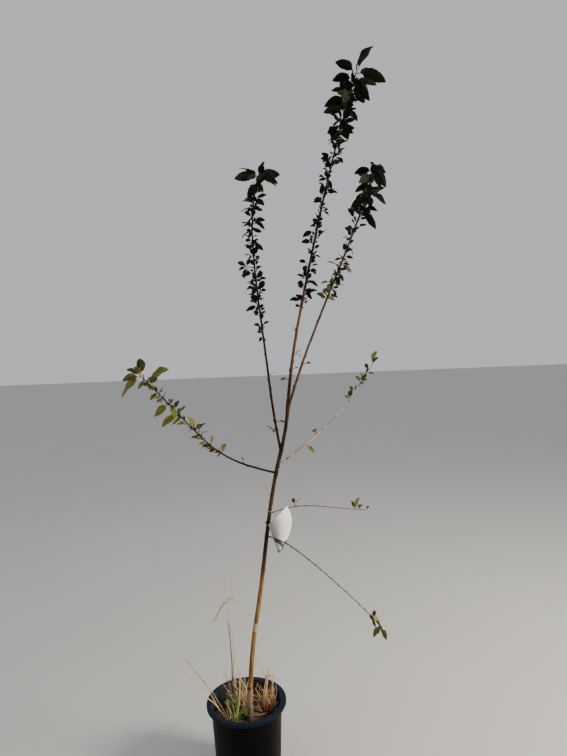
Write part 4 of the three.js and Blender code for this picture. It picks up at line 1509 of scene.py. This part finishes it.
@dataclass
class PottingMix:
    """The root ball: potting mix with a crumbly top, moss, chips and crumbs.

    Each of the crumbs' layers of noise has a seed, its cells and its height. The lattice is how
    far the noise reaches to each side of the pot's axis.
    """

    pot: NurseryPot
    level: float = 222.0
    bumps: float = 2.6
    flat: float = 24.0
    fade: float = 22.0
    around: int = 220
    trunk_foot: Pair = (14.0, -40.0)
    lattice: float = 125.0
    crumbs: tuple[tuple[int, int, float], ...] = ((5, 24, 1.5), (6, 60, 1.0), (7, 120, 0.7))
    chips: int = 520
    chip_width: Pair = (0.25, 0.6)

    @property
    def brim(self) -> float:
        """The ball's radius at its top."""
        return self.edge(self.level)

    def edge(self, z: float) -> float:
        """The ball's radius at a height."""
        return self.pot.foot + (self.pot.neck - self.pot.foot) * z / self.pot.height - self.pot.wall - GAP

    def from_trunk(self, x: Array, y: Array) -> Array:
        """The distance from the middle of the trunk's foot."""
        return np.hypot(x - self.trunk_foot[0], y - self.trunk_foot[1])

    def noise(self, grain: Grain, x: Array, y: Array) -> Array:
        """Lattice noise over the top of the mix."""
        return grain.at((x + self.lattice) / (2 * self.lattice), (y + self.lattice) / (2 * self.lattice))

    def height(self, x: Array, y: Array) -> Array:
        """The part's soil height: two crossed waves that fade out round the trunk."""
        near = np.clip((self.from_trunk(x, y) - self.flat) / self.fade, 0, 1)
        waves = np.sin(x / 13 + 1) * np.cos(y / 11) + 0.5 * np.sin(x / 6 - y / 8)
        return self.level + near * self.bumps * waves

    def crumbly(self, x: Array, y: Array) -> Array:
        """The soil height with crumbs: the waves plus three layers of lattice noise."""
        rough = sum(self.noise(Grain(seed, cells, cells), x, y) * high for seed, cells, high in self.crumbs)
        rim = ease((self.brim - np.hypot(x, y)) / 6.0)
        return self.height(x, y) + rough * (0.4 + 0.6 * rim) - (1.0 - rim)

    def build(self) -> None:
        """Makes the ball and the loose bits on it."""
        base = self.pot.floor + GAP
        foot = self.edge(0)
        outside = [(0.5, base), (foot - 5.5, base), (foot, base + 5.5), (self.brim, self.level)]
        inward = self.brim - 2.0 - shares(100)[:-1] * (self.brim - 2.5)
        rings = lathe([*outside, *((float(radius), self.level) for radius in inward)], self.around)
        x, y, z = np.moveaxis(rings, -1, 0)
        on_top = z > self.level - 1.0
        rings = np.stack([x, y, np.where(on_top, self.crumbly(x, y), z)], axis=-1)
        moss = ease((self.noise(Grain(12, 6, 6), x, y) + 0.25 - 0.006 * x) / 0.5) * on_top
        ball = Gather()
        ball.add(rings, np.stack([moss, 0 * moss, 0 * moss, 0 * moss], axis=-1))
        show("potting_mix_ball", ball, MixEarth().material(), "potting_mix", "root_ball")
        self._chips()

    def _chips(self) -> None:
        """Bark chips and crumbs that lie on the mix: short six-sided stubs.

        A chip is a straight line through its middle, with a radius that is uneven round it and
        falls towards its ends.
        """
        dice = np.random.default_rng(77)
        out = np.sqrt(dice.random(self.chips)) * (self.brim - 7.0)
        spin = dice.uniform(0, TURN, self.chips)
        x, y = out * np.cos(spin), out * np.sin(spin)
        clear = self.from_trunk(x, y) > 15.0
        x, y = x[clear], y[clear]
        count = len(x)
        size = dice.gamma(2.2, 1.0, count) + 1.2
        yaw, tilt = dice.uniform(0, TURN, count), dice.uniform(-0.45, 0.45, count)
        way = np.stack([np.cos(yaw) * np.cos(tilt), np.sin(yaw) * np.cos(tilt), np.sin(tilt)], axis=-1)
        middle = np.stack([x, y, self.crumbly(x, y) + size * 0.16], axis=-1)
        share = np.linspace(-1.0, 1.0, 4)
        path = middle[:, None] + way[:, None] * (size[:, None] * share)[..., None]
        wide = size * dice.uniform(*self.chip_width, count)
        profile = np.array([0.55, 1.0, 0.9, 0.5])[None, :, None]
        radii = wide[:, None, None] * profile * dice.uniform(0.7, 1.2, (count, 1, 6))
        bits = Gather()
        bits.add(tube(path, radii, 6), np.stack([dice.random(count)] * 4, axis=-1)[:, None, None])
        finish = Plain("bark_chip", (0.05, 0.03, 0.018), (0.19, 0.12, 0.07), 60.0, 0.8)
        show("mix_chips", bits, finish.material(), "potting_mix", edge=40.0)


@dataclass(frozen=True)
class Straw:
    """One long straw or bent blade, by the points that it passes through."""

    points: list[Triple]
    tone: float = 0.6
    wide: float = 1.0
    flat: float = 1.0
    fine: float = 3.5
    joint: float = 85.0

    def rings(self) -> tuple[Array, Array]:
        """The straw's rings and marks.

        A straw tapers evenly and has a bell curve at each joint; a blade follows a sine along its
        length and its rings are flattened ovals.

        Returns:
            The rings, and their marks: tone, share along.
        """
        corners = np.array(self.points, dtype=float)
        length = np.linalg.norm(np.diff(corners, axis=0), axis=1).sum()
        count = max(6, int(length / self.fine))
        path = smoothed(even(corners, count), 2)
        share = shares(count)
        turn = np.linspace(0.0, TURN, 8, endpoint=False)
        if self.flat == 1.0:
            near = (share * length / self.joint + 0.3) % 1.0 - 0.5
            taper = (1.6 - 0.85 * share) * (1.0 + 0.3 * bell(near / 0.035))
        else:
            taper = 2.6 * np.sin(np.pi * (0.12 + 0.86 * share)) ** 0.6
        oval = self.flat / np.sqrt((self.flat * np.cos(turn)) ** 2 + np.sin(turn) ** 2)
        radii = (self.wide * taper)[:, None] * oval
        marks = np.stack(np.broadcast_arrays(self.tone, share, 0.5, 0.5), axis=-1)
        return tube(path[None], radii[None], 8), marks[None, :, None]


@dataclass
class DryGrass:
    """A clump of dry grass: long straws and bent blades over short old stubble."""

    name: str
    foot: Pair
    radius: float
    straws: int
    length: Pair
    lean: Pair
    seed: int
    culms: list[Straw]
    mix: PottingMix
    stubble: int
    tall: Pair
    tones: Pair
    spread: float
    rise: Pair
    lying: float = 0.3
    lying_rise: Pair = (68.0, 86.0)
    off_trunk: float = 13.0

    def _short(self) -> list[Straw]:
        """The part's own short straws, drawn as in its source."""
        chance = Chance(self.seed)
        dice = np.random.default_rng(self.seed + 500)
        short = []
        for _ in range(self.straws):
            turn, out = chance.between(0, TURN), self.radius * 0.8 * chance.next() ** 0.5
            x, y = self.foot[0] + out * math.cos(turn), self.foot[1] + out * math.sin(turn) * 0.85
            slope = chance.between(*self.lean)
            size, back, curve = chance.between(*self.length), chance.between(-24, 20), chance.between(-22, 22)
            foot = np.array([x, y, self.mix.level])
            path, _ = walk(foot, size, [slope, slope + curve * 0.35, slope + curve], [back], 12)
            short.append(Straw([tuple(point) for point in path], float(dice.uniform(0.3, 0.8)), 0.8))
        return short

    def build(self, straw: Material) -> None:
        """Makes the clump."""
        gather = Gather()
        for each in [*self.culms, *self._short()]:
            gather.add(*each.rings())
        self._stubble(gather)
        show(f"{self.name}_straws", gather, straw, "straw", self.name, edge=70.0)

    def _stubble(self, gather: Gather) -> None:
        """Thin stems that stand, curl over and lie round the clump's foot.

        A stem's path is its straight line, pushed sideways by a share of its length times the
        sine of its own waves and pulled down by the square of the share.
        """
        dice = np.random.default_rng(self.seed)
        count = self.stubble
        out = self.radius * self.spread * np.sqrt(dice.random(count))
        spin = dice.uniform(0, TURN, count)
        x, y = self.foot[0] + out * np.cos(spin), self.foot[1] + out * np.sin(spin) * 0.85
        keep = self.mix.from_trunk(x, y) > self.off_trunk + 3.0
        keep &= np.hypot(x, y) < self.mix.brim - 4.0
        x, y, count = x[keep], y[keep], int(keep.sum())
        foot = np.stack([x, y, self.mix.crumbly(x, y) - 2.0], axis=-1)
        size = self.tall[0] + (self.tall[1] - self.tall[0]) * dice.random(count) ** 1.3
        flat = dice.random(count) < self.lying
        slope = np.where(flat, dice.uniform(*self.lying_rise, count), dice.uniform(*self.rise, count))
        tilt, yaw = np.radians(slope), dice.uniform(0, TURN, count)
        way = np.stack([np.sin(tilt) * np.cos(yaw), np.sin(tilt) * np.sin(yaw), np.cos(tilt)], axis=-1)
        share = shares(7)
        side = np.stack([np.sin(yaw), -np.cos(yaw), np.zeros(count)], axis=-1)
        waves, sway = dice.uniform(1.5, 7.0, count)[:, None], dice.uniform(-0.3, 0.3, count)[:, None]
        fall = share ** 2 * dice.uniform(0.0, 0.3, count)[:, None]
        size = size[:, None]
        along, aside, down = size * share, size * np.sin(share * waves) * sway, size * fall
        path = (foot[:, None] + way[:, None] * along[..., None]
                + side[:, None] * aside[..., None] - UP * down[..., None])
        x, y, _ = np.moveaxis(path, -1, 0)
        inside = np.hypot(x, y).max(axis=1) < self.mix.brim - 3.0
        clear = self.mix.from_trunk(x, y).min(axis=1) > self.off_trunk
        path = path[inside & clear]
        radii = (dice.uniform(0.5, 1.25, len(path))[:, None] * (1.0 - 0.55 * share))[..., None]
        pale = dice.beta(0.55, 0.75, len(path))
        tone = (self.tones[0] + (self.tones[1] - self.tones[0]) * pale)[:, None, None]
        marks = np.stack(np.broadcast_arrays(tone, share[None, :, None], 0.5, 0.5), axis=-1)
        gather.add(tube(path, radii, 5), marks)


@dataclass
class Weeds:
    """Low green weeds in the pot: leafy stems with small round leaves."""

    name: str
    foot: Pair
    mix: PottingMix
    spread: Pair
    stems: int
    tall: float
    seed: int
    nodes: tuple[str, ...] = ()
    lean: Pair = (4.0, 34.0)
    leaf: Pair = (6.0, 11.0)
    joints: tuple[int, ...] = (2, 3, 4, 5, 6, 7, 7)

    def build(self, green: Material) -> None:
        """Makes the weeds' stems and leaves."""
        dice = np.random.default_rng(self.seed)
        step = math.radians(GOLDEN)
        leaves: list[Leaf] = []
        paths = []
        for number in range(self.stems):
            turn, out = number * step, math.sqrt((number + 0.5) / self.stems)
            x = self.foot[0] + self.spread[0] * out * math.cos(turn)
            y = self.foot[1] + self.spread[1] * out * math.sin(turn)
            foot = np.array([x, y, float(self.mix.crumbly(np.array(x), np.array(y))) - 1.5])
            slope, size = math.radians(dice.uniform(*self.lean)), dice.uniform(0.3, 1.0) * self.tall
            yaw = dice.uniform(0, TURN)
            flat = math.sin(slope)
            way = np.array([math.cos(yaw) * flat, math.sin(yaw) * flat, math.cos(slope)])
            share = shares(8)[:, None]
            path = foot + way * size * share + UP * bend(share, 2.0)
            paths.append(path)
            for k, place in enumerate(self.joints):
                spin = yaw + k * step
                along = unit(np.array([math.cos(spin), math.sin(spin), dice.uniform(0.15, 0.9)]))
                tone = float(dice.uniform(0.2, 0.8))
                leaves.append(Leaf(path[place], along, dice.uniform(*self.leaf), dice.uniform(-30, 30), tone))
        gather = Gather()
        plump = LeafShape(slim=0.42, stalk=0.2, rows=6, thick=0.35, notch=0.0)
        gather.add(*plump.blades(leaves))
        gather.add(tube(np.array(paths), np.full((1, 8, 1), 0.6), 5), (0.3, 0.5, 0.5, 0.3))
        show(f"{self.name}_leaves", gather, green, "weed", *self.nodes, edge=LEAF_EDGE)


# The tag


@dataclass
class Tag:
    """The curled paper tag and the thread that ties it to the trunk."""

    top: Pair = (168.0, 964.0)
    left: Pair = (103.0, 903.0)
    foot: Pair = (137.0, 799.0)
    foot_width: float = 9.0
    bow: float = 25.0
    bulge: float = 19.0
    face: float = -31.0
    drop: float = 15.0
    thick: float = 0.5
    columns: int = 64
    rows: int = 96
    thread_at: float = 0.648
    thread_radius: float = 0.8
    thread_clear: float = 0.4
    loop_twists: float = 11.0
    strand_twists: float = 26.0
    hole: float = 0.5
    knot: float = 1.6

    def point(self, across: Array, down: Array) -> Array:
        """A point of the sheet: straight edges swollen to the right and bowed to the front."""
        swell = np.sin(np.pi * down ** 0.8) * self.bow * across ** 1.5
        half = self.foot_width / 2
        left = self.left[0] + (self.foot[0] - half - self.left[0]) * down
        right = self.top[0] + (self.foot[0] + half - self.top[0]) * down
        low = self.left[1] + (self.foot[1] - self.left[1]) * down
        high = self.top[1] + (self.foot[1] - self.top[1]) * down
        curve = self.bulge * np.sin(np.pi * (0.08 + 0.84 * across))
        y = self.face + self.drop * down - curve * (1 - 0.6 * down)
        return np.stack([left + (right - left) * across + swell, y, low + (high - low) * across], axis=-1)

    def build(self, trunk: Limb) -> None:
        """Makes the tag and its thread.

        The sheet is pushed to and fro by a bell curve along its fold, a sine that dies away at
        both ends, and two layers of lattice noise, all of which start below its upper edge.

        Args:
            trunk: the limb that the thread goes round.
        """
        across = shares(self.columns)
        there_and_back = np.concatenate([across, across[::-1]])[None, :]
        u, v = np.broadcast_arrays(there_and_back, shares(self.rows)[:, None])
        side = np.repeat([-0.5, 0.5], self.columns)[None, :]
        crease = 1.6 * bell((u - 0.55 + 0.25 * v) / 0.05) * ease((v - 0.72) / 0.15)
        crease = crease + 1.1 * np.sin(TURN * (u * 1.4 + v * 0.6)) * v ** 2 * (1 - v)
        rumple = Grain(91, 7, 6).at(v, u * 0.5) * 0.8 + Grain(92, 18, 14).at(v, u * 0.5) * 0.22
        shift = (crease + rumple) * ease(v / 0.1) + side * self.thick
        sheet = self.point(u, v) + DEPTH * shift[..., None]
        paper = Gather()
        paper.add(sheet[None, ::-1], np.stack([u, v, 0 * u, 0 * u], axis=-1)[None, ::-1])
        show("paper_tag", paper, TagPaper().material(), "tag", "tag", edge=50.0)
        self._thread(trunk)

    def _thread(self, trunk: Limb) -> None:
        """A loop of two plies round the trunk, a strand of two plies to the tag and a knot."""
        middle = trunk.point(self.thread_at)
        along, across, other = (trunk.way(self.thread_at, *turned)
                                for turned in ((0.0, 90.0), (0.0, 0.0), (90.0, 0.0)))
        reach = trunk.radius(self.thread_at) + self.thread_radius + self.thread_clear
        turn = np.linspace(0.0, TURN, 90)[:, None]
        out = across * np.cos(turn) + other * np.sin(turn)
        gather = Gather()
        self._plies(gather, middle + out * reach, out, along, turn * self.loop_twists)
        start = middle + np.array([reach * 0.6, -reach * 0.8, 0.0])
        end = self.point(np.array(self.hole), np.array(0.0)) + np.array([-0.4, 0.0, 1.2])
        share = shares(40)[:, None]
        strand = start + (end - start) * share - np.array([0.0, 3.0, 1.0]) * bend(share, 1.0)
        self._plies(gather, strand, UP, DEPTH, share * self.strand_twists)
        height = np.linspace(-1.0, 1.0, 9)
        bulb = 1.7 * np.sqrt(np.clip(1 - height ** 2, 0.05, 1))
        gather.add(tube((start + UP * self.knot * height[:, None])[None], bulb[None, :, None], 10))
        finish = Plain("thread_fibre", (0.36, 0.27, 0.18), (0.52, 0.42, 0.3), 700.0, 0.8)
        show("twine", gather, finish.material(), "thread", "tag_thread")

    def _plies(self, gather: Gather, path: Array, first: Array, second: Array, twist: Array) -> None:
        """Two plies that wind round a path.

        Args:
            gather: what gathers them.
            path: the points that they wind round.
            first: a direction across the path.
            second: the other direction across it.
            twist: how far they have wound at each point.
        """
        ply = self.thread_radius * 0.48
        for turn in (twist, twist + math.pi):
            wound = path + (first * np.cos(turn) + second * np.sin(turn)) * ply
            gather.add(tube(wound[None], np.full((1, 1, 1), ply), 8))


# The sizes of this tree


def make_limbs() -> Limbs:
    """Every limb, from the part's own sizes, each walked from the one that carries it."""
    limbs = [
        Limb("trunk", 1124, [1, 6, 11, 8, 10, 16, 4], [2], (8.4, 5.8), BarkKind.TRUNK,
             foot=[14, -40, 222.3], seed=11),
        Limb("centre_leader", 1127, [7, 13, 14, 16, 19], [2], (5.6, 2.0), BarkKind.CENTRE,
             on="trunk", at=1.0, leafy=0.27, seed=21),
        Limb("left_leader", 970, [-10, -5, -6, -2, 15], [6], (4.6, 2.1), BarkKind.DARK,
             on="trunk", at=0.834, leafy=0.4, seed=31),
        Limb("right_leader", 849, [17, 22, 24, 23, 17], [-6], (4.7, 2.1), BarkKind.PINK,
             on="trunk", at=0.958, leafy=0.46, seed=41),
        Limb("left_side_bough", 571, [-73, -69, -55, -41, -39, -40, -41], [-10], (3.7, 1.2), BarkKind.SIDE,
             on="trunk", at=0.767, leafy=0.33, seed=51),
        Limb("right_side_bough", 500, [58, 54, 40, 36], [14], (3.5, 1.1), BarkKind.BOUGH,
             on="trunk", at=0.789, leafy=0.66, seed=61),
        Limb("low_twig", 354, [72, 101, 99], [11], (1.7, 0.9), BarkKind.RED,
             on="trunk", at=0.64, leafy=0.78, seed=71),
        Limb("drooping_twig", 518, [83, 112, 119, 121, 129], [-45], (1.9, 0.9), BarkKind.BROWN,
             on="trunk", at=0.57, leafy=0.86, seed=81),
    ]
    grown: Limbs = {}
    for limb in limbs:
        limb.grow(grown)
        grown[limb.name] = limb
    return grown


def make_foliage() -> list[Foliage]:
    """Every mass of foliage, from the part's own sizes and seeds."""
    return [
        Foliage("centre_foliage", "centre_leader", [
            (1, -34, 78, 98, -40), (1, -158, 9, 73, -30), (1, -7, 8, 81, 40), (0.983, 165, -2, 64, -40),
            (0.983, -10, 7, 61, 105), (0.967, -5, -22, 58, 60), (0.967, 27, -22, 52, 50),
            (0.967, -122, -65, 67, 70), (0.95, 180, -9, 56, -120), (0.917, 169, -15, 67, -50),
            (0.883, 180, -8, 61, -45), (0.784, -165, 54, 57, -52), (0.941, -118, 21, 48, 5),
            (0.954, 47, 53, 54, -64), (0.813, -51, 21, 54, 49), (0.865, -4, 57, 48, -50),
        ], [
            Stretch(0.36, 22, 3, 30, 9, 376), Stretch(0.44, 22, 3, 28, 9, 340),
            Stretch(0.52, 26, 2, 30, 9, 887), Stretch(0.60, 26, 2, 30, 9, 357),
            Stretch(0.67, 18, 3, 32, 10, 367), Stretch(0.74, 15, 3, 32, 9, 1177),
            Stretch(0.82, 15, 3, 36, 9, 2692), Stretch(0.90, 15, 3, 44, 8, 2300),
            Stretch(0.96, 16, 2, 50, 6, 1356),
        ]),
        Foliage("left_foliage", "left_leader", [
            (1, -58, 74, 56, -60), (1, 20, 37, 72, 90), (0.96, -30, 70, 56, 65), (1, -20, -4, 62, -60),
            (0.983, 5, -44, 31, -90), (1, -173, -8, 68, -80), (1, -171, 19, 64, 10),
            (0.983, 171, -67, 49, -90),
        ], [
            Stretch(0.52, 26, 2, 32, 10, 2600), Stretch(0.62, 19, 3, 32, 10, 1010),
            Stretch(0.71, 18, 3, 29, 9, 1124), Stretch(0.80, 17, 3, 29, 9, 1905),
            Stretch(0.88, 15, 3, 32, 9, 187), Stretch(0.95, 14, 3, 36, 7, 1212),
        ]),
        Foliage("right_foliage", "right_leader", [
            (1, 176, 34, 20, 70), (1, 26, 23, 27, -80), (1, -17, -10, 31, -90), (1, 1, -41, 51, 70),
            (0.983, -38, -44, 44, -60), (0.983, 173, -9, 51, -40), (0.967, -138, -27, 51, -80),
            (0.933, 171, -32, 40, -60), (0.833, -4, -26, 53, 40), (0.887, 115, -26, 69, -6),
            (0.954, 87, -53, 69, 3), (0.908, -26, -14, 56, -34), (0.887, 72, -1, 63, 0),
        ], [
            Stretch(0.54, 20, 3, 34, 9, 1405), Stretch(0.64, 20, 3, 32, 9, 286),
            Stretch(0.73, 20, 2, 28, 8, 740), Stretch(0.81, 15, 3, 34, 10, 300),
            Stretch(0.89, 13, 3, 40, 9, 2539), Stretch(0.96, 13, 3, 42, 8, 2756),
        ], young=0.35, painted_sun=0.36),
        Foliage("left_side_foliage", "left_side_bough", [
            (1, -2, 48, 59, 20), (1, 141, 74, 47, -40), (1, 153, 53, 56, -20), (1, 164, 4, 75, 50),
            (0.95, -9, 0, 78, -40), (0.967, -156, 2, 26, 40), (0.867, 158, 7, 29, -45),
            (0.783, 168, 5, 50, 50), (0.783, 166, -20, 44, -12), (0.767, -107, -55, 33, -30),
            (0.7, -171, 14, 50, 60), (0.667, -165, 18, 30, -55), (0.733, 25, 24, 34, -20),
            (0.7, -11, 11, 39, 22), (0.567, 61, 54, 52, -15), (0.55, -11, 11, 45, 15),
            (0.933, -21, 2, 35, 25), (0.483, 177, 70, 40, -50), (0.433, 25, 23, 34, 90),
            (0.35, -13, 21, 40, 20),
        ], [Stretch(0.8, 50, 2, 22, 7, 5), Stretch(0.95, 22, 2, 24, 9, 3)], tones=(0.46, 0.72), aged=0.08),
        Foliage("right_side_foliage", "right_side_bough", [
            (1, -144, 67, 55, 42), (1, -91, 58, 34, -28), (0.85, 156, 30, 30, 30),
            (0.85, -107, 52, 31, 25), (0.7, -139, 51, 34, 70), (0.7, 153, 11, 21, 30),
        ], tones=(0.42, 0.64)),
        Foliage("low_twig_foliage", "low_twig", [
            (1, -177, 17, 17, 70), (0.883, -179, 6, 43, 45), (0.867, 156, -16, 31, -15),
            (0.917, -156, 13, 27, 30),
        ], tones=(0.3, 0.7), aged=0.2),
        Foliage("drooping_twig_foliage", "drooping_twig", [
            (1, 52, 38, 27, 75), (0.983, -7, 10, 26, 45), (0.933, -170, -22, 22, -50),
        ], tones=(0.25, 0.6), aged=0.2),
    ]


def make_tufts() -> list[Tuft]:
    """The single spurs on bare limbs."""
    return [
        Tuft("centre_leader", 0.05, 180, 1, 22, 2), Tuft("centre_leader", 0.085, 10, 1, 20, 4),
        Tuft("centre_leader", 0.13, -15, 2, 26, 5), Tuft("centre_leader", 0.2, 150, 1, 22, 7),
        Tuft("left_leader", 0.075, 175, 3, 30, 8), Tuft("left_leader", 0.1, -10, 2, 24, 10),
        Tuft("left_leader", 0.27, 30, 1, 24, 12), Tuft("right_leader", 0.2, 0, 1, 16, 13),
        Tuft("left_side_bough", 0.2, 10, 1, 20, 14), Tuft("right_side_bough", 0.34, 180, 2, 28, 15),
        Tuft("low_twig", 0.25, 180, 2, 24, 17),
    ]


def make_sprays() -> list[Spray]:
    """The side sprays that stand apart from the masses."""
    return [
        Spray("left_leader", 0.665, (-28.0, -4.0, 3.0), [
            ((-23.0, 6.0, 21.0), 75.0), ((15.0, -6.0, 25.0), -80.0), ((-20.0, -8.0, -6.0), 75.0),
            ((-6.0, -8.0, -29.0), 5.0), ((8.0, 12.0, -20.0), -30.0), ((-5.0, 8.0, 12.0), 85.0),
        ], (0.05, 0.3)),
        Spray("right_side_bough", 0.245, (3.0, -2.0, -2.5), [((21.0, -6.0, -15.0), -62.0)], (0.6, 0.66)),
    ]


def make_grass(mix: PottingMix) -> list[DryGrass]:
    """The clumps of dry grass, from the part's own points."""
    left = [
        Straw([(-44, 40, 222), (-46, 42, 310), (-40, 48, 446), (-50, 48, 517), (-60, 48, 602),
               (-64, 48, 704)], 0.62, 1.5),
        Straw([(-60, 48, 602), (-55, 48, 616), (-40, 48, 616), (-27, 48, 600)], 0.5, 1.1, 0.2),
        Straw([(-60, 48, 596), (-69, 48, 602), (-112, 48, 527)], 0.46, 1.1, 0.2),
        Straw([(-53, 38, 222), (-50, 42, 380), (-53, 42, 472), (-58, 42, 531)], 0.06, 1.7),
        Straw([(-12, 30, 222), (1, 26, 288), (-24, 26, 337), (-26, 26, 399)], 0.7, 1.4),
        Straw([(-30, 30, 222), (-37, 30, 283), (-40, 30, 324), (-32, 30, 352), (-18, 30, 358)], 0.66, 1.3),
    ]
    right = [
        Straw([(76, 20, 222), (71, 26, 329), (37, 26, 426), (19, 26, 470), (-6, 26, 543), (-9, 26, 553),
               (-4, 26, 558), (34, 26, 565), (120, 26, 579), (202, 26, 592), (255, 26, 601)], 0.66, 1.4),
        Straw([(54, 8, 222), (52, 8, 262), (46, 8, 300)], 1.0, 1.2),
        Straw([(74, -8, 222), (72, -6, 250), (67, -4, 277)], 1.0, 1.4),
        Straw([(84, -6, 222), (86, -4, 246), (79, -2, 264)], 1.0, 1.3),
        Straw([(66, -6, 222), (62, -4, 242), (54, -2, 252)], 0.97, 1.1),
        Straw([(62, 12, 226), (70, 16, 290), (77, 20, 338), (90, 22, 372)], 0.66, 1.0, 0.3),
        Straw([(77, 20, 336), (66, 20, 350), (60, 18, 344)], 0.8, 0.9, 0.3),
        Straw([(77, 20, 330), (90, 20, 346), (104, 18, 338), (112, 18, 318)], 0.7, 0.9, 0.3),
        Straw([(60, 24, 222), (60, 24, 280), (73, 24, 338), (83, 24, 359)], 0.62, 1.4),
        Straw([(86, 34, 222), (94, 34, 309), (96, 34, 360)], 0.7, 1.5),
        Straw([(94, 28, 222), (95, 30, 304), (75, 30, 353)], 0.5, 1.2),
    ]
    front = [
        Straw([(-65, -36, 222), (-110, -24, 276), (-177, -15, 322), (-221, -10, 373)], 0.78, 1.3),
        Straw([(-61, -32, 222), (-119, -10, 311), (-168, -10, 378), (-197, -10, 423)], 0.4, 1.1),
        Straw([(-74, -34, 222), (-142, -10, 338), (-207, -10, 434)], 0.55, 1.1),
        Straw([(-34, -54, 222), (-19, -50, 300), (-16, -50, 382)], 0.62, 1.5),
    ]
    return [
        DryGrass("dry_grass_left", (-30, 34), 26, 6, (60, 170), (-14, 12), 21, left, mix,
                 stubble=150, tall=(12, 160), tones=(0.05, 0.9), spread=1.4, rise=(2, 28)),
        DryGrass("dry_grass_right", (76, 22), 24, 5, (50, 140), (-26, 14), 34, right, mix,
                 stubble=150, tall=(12, 135), tones=(0.0, 1.0), spread=1.42, rise=(2, 40)),
        DryGrass("dry_grass_front", (-56, -44), 26, 4, (30, 80), (-50, 20), 13, front, mix,
                 stubble=100, tall=(8, 75), tones=(0.0, 0.8), spread=1.3, rise=(10, 66)),
    ]


def make_weeds(mix: PottingMix) -> list[Weeds]:
    """The groups of low weeds, of which the first stands for the part's own."""
    return [
        Weeds("pot_weeds", (-46.0, -2.0), mix, (17.0, 24.0), 28, 46.0, 41, ("pot_weeds",)),
        Weeds("front_weeds", (-40.0, -50.0), mix, (13.0, 12.0), 16, 34.0, 43),
        Weeds("low_weeds", (-6.0, -22.0), mix, (12.0, 16.0), 12, 16.0, 47),
    ]


# The studio


@dataclass(frozen=True)
class Lamp:
    """A soft square light: where it is, what it looks at, its width and its power."""

    name: str
    place: Triple
    aim: Triple
    width: float
    power: float
    colour: Colour = (1.0, 1.0, 1.0)

    def build(self) -> None:
        """Hangs the light."""
        lamp = bpy.data.lights.new(self.name, "AREA")
        lamp.shape, lamp.size, lamp.energy, lamp.color = "SQUARE", self.width, self.power, self.colour
        shown = stand(self.name, lamp)
        shown.location = self.place
        shown.rotation_euler = (Vector(self.aim) - Vector(self.place)).to_track_quat("-Z", "Y").to_euler()


@dataclass
class Studio:
    """The pale floor and backdrop, the lights and the camera, whose lens is 568 of 756 pixels."""

    eye: Triple = (0.174, -1.94, 1.50)
    pitch: float = 3.0
    roll: float = 2.2
    film: float = 36.0
    lens: float = 36.0 * 568.0 / 756.0
    floor_size: float = 60.0
    floor_colour: Colour = (0.53, 0.525, 0.515)
    sky: Colour = (0.93, 0.95, 0.98)
    sky_strength: float = 0.6
    lamps: tuple[Lamp, ...] = (
        Lamp("key", (3.3, -1.0, 2.5), (0.1, 0.0, 0.8), 1.0, 210.0, (1.0, 0.9, 0.74)),
        Lamp("fill", (-3.0, -2.2, 2.2), (0.1, 0.0, 1.2), 2.6, 12.0, (0.86, 0.93, 1.0)),
        Lamp("rim", (-0.6, 3.2, 3.4), (0.2, 0.0, 1.4), 2.4, 8.0),
    )

    def build(self) -> None:
        """Sets up the studio and the camera."""
        self._floor()
        for lamp in self.lamps:
            lamp.build()
        world = bpy.data.worlds.new("studio")
        world.use_nodes = True
        background = world.node_tree.nodes["Background"].inputs
        background["Color"].default_value = (*self.sky, 1.0)
        background["Strength"].default_value = self.sky_strength
        bpy.context.scene.world = world
        self._camera()

    def _floor(self) -> None:
        """A wide pale floor under the pot."""
        half = self.floor_size / 2
        corners = [(-half, -half, 0), (half, -half, 0), (half, half, 0), (-half, half, 0)]
        mesh = bpy.data.meshes.new("studio_floor")
        mesh.from_pydata(corners, [], [(0, 1, 2, 3)])
        paint = Paint("floor_paint")
        cloud = paint.noise(1.3, 3.0)
        mesh.materials.append(paint.finish(paint.darken(self.floor_colour, 0.97 + cloud * 0.06), 0.85))
        stand("studio_floor", mesh)

    def _camera(self) -> None:
        """The camera, pitched down and rolled as in the photograph."""
        p, r = math.radians(self.pitch), math.radians(self.roll)
        right, up = Vector((1, 0, 0)), Vector((0, math.sin(p), math.cos(p)))
        ahead = Vector((0, math.cos(p), -math.sin(p)))
        x, y = right * math.cos(r) - up * math.sin(r), right * math.sin(r) + up * math.cos(r)
        data = bpy.data.cameras.new("camera")
        data.lens, data.sensor_width, data.clip_end = self.lens, self.film, 200.0
        camera = stand("camera", data)
        camera.matrix_world = Matrix.Translation(self.eye) @ Matrix((x, y, -ahead)).transposed().to_4x4()
        bpy.context.scene.camera = camera


def main() -> None:
    """Builds the studio and every piece of the tree and its pot, in order."""
    logging.basicConfig(level=logging.INFO, format="%(message)s", stream=sys.stdout)
    Studio().build()
    barks = {kind: kind.value.material() for kind in BarkKind}
    limbs = make_limbs()
    pot = NurseryPot()
    pot.build()
    mix = PottingMix(pot)
    mix.build()
    Wood(limbs).build(barks)
    leaf = LeafSkin().material()
    for mass in make_foliage():
        mass.build(limbs, leaf, barks)
    for number, tuft in enumerate(make_tufts(), 1):
        tuft.build(number, limbs, leaf)
    for number, spray in enumerate(make_sprays(), 1):
        spray.build(number, limbs, leaf)
    Tag().build(limbs["trunk"])
    straw = StrawSkin().material()
    for clump in make_grass(mix):
        clump.build(straw)
    green = Plain("weed_green", (0.022, 0.07, 0.008), (0.15, 0.3, 0.03), 60.0, 0.5).material()
    for weeds in make_weeds(mix):
        weeds.build(green)


if __name__ == "__main__":
    main()
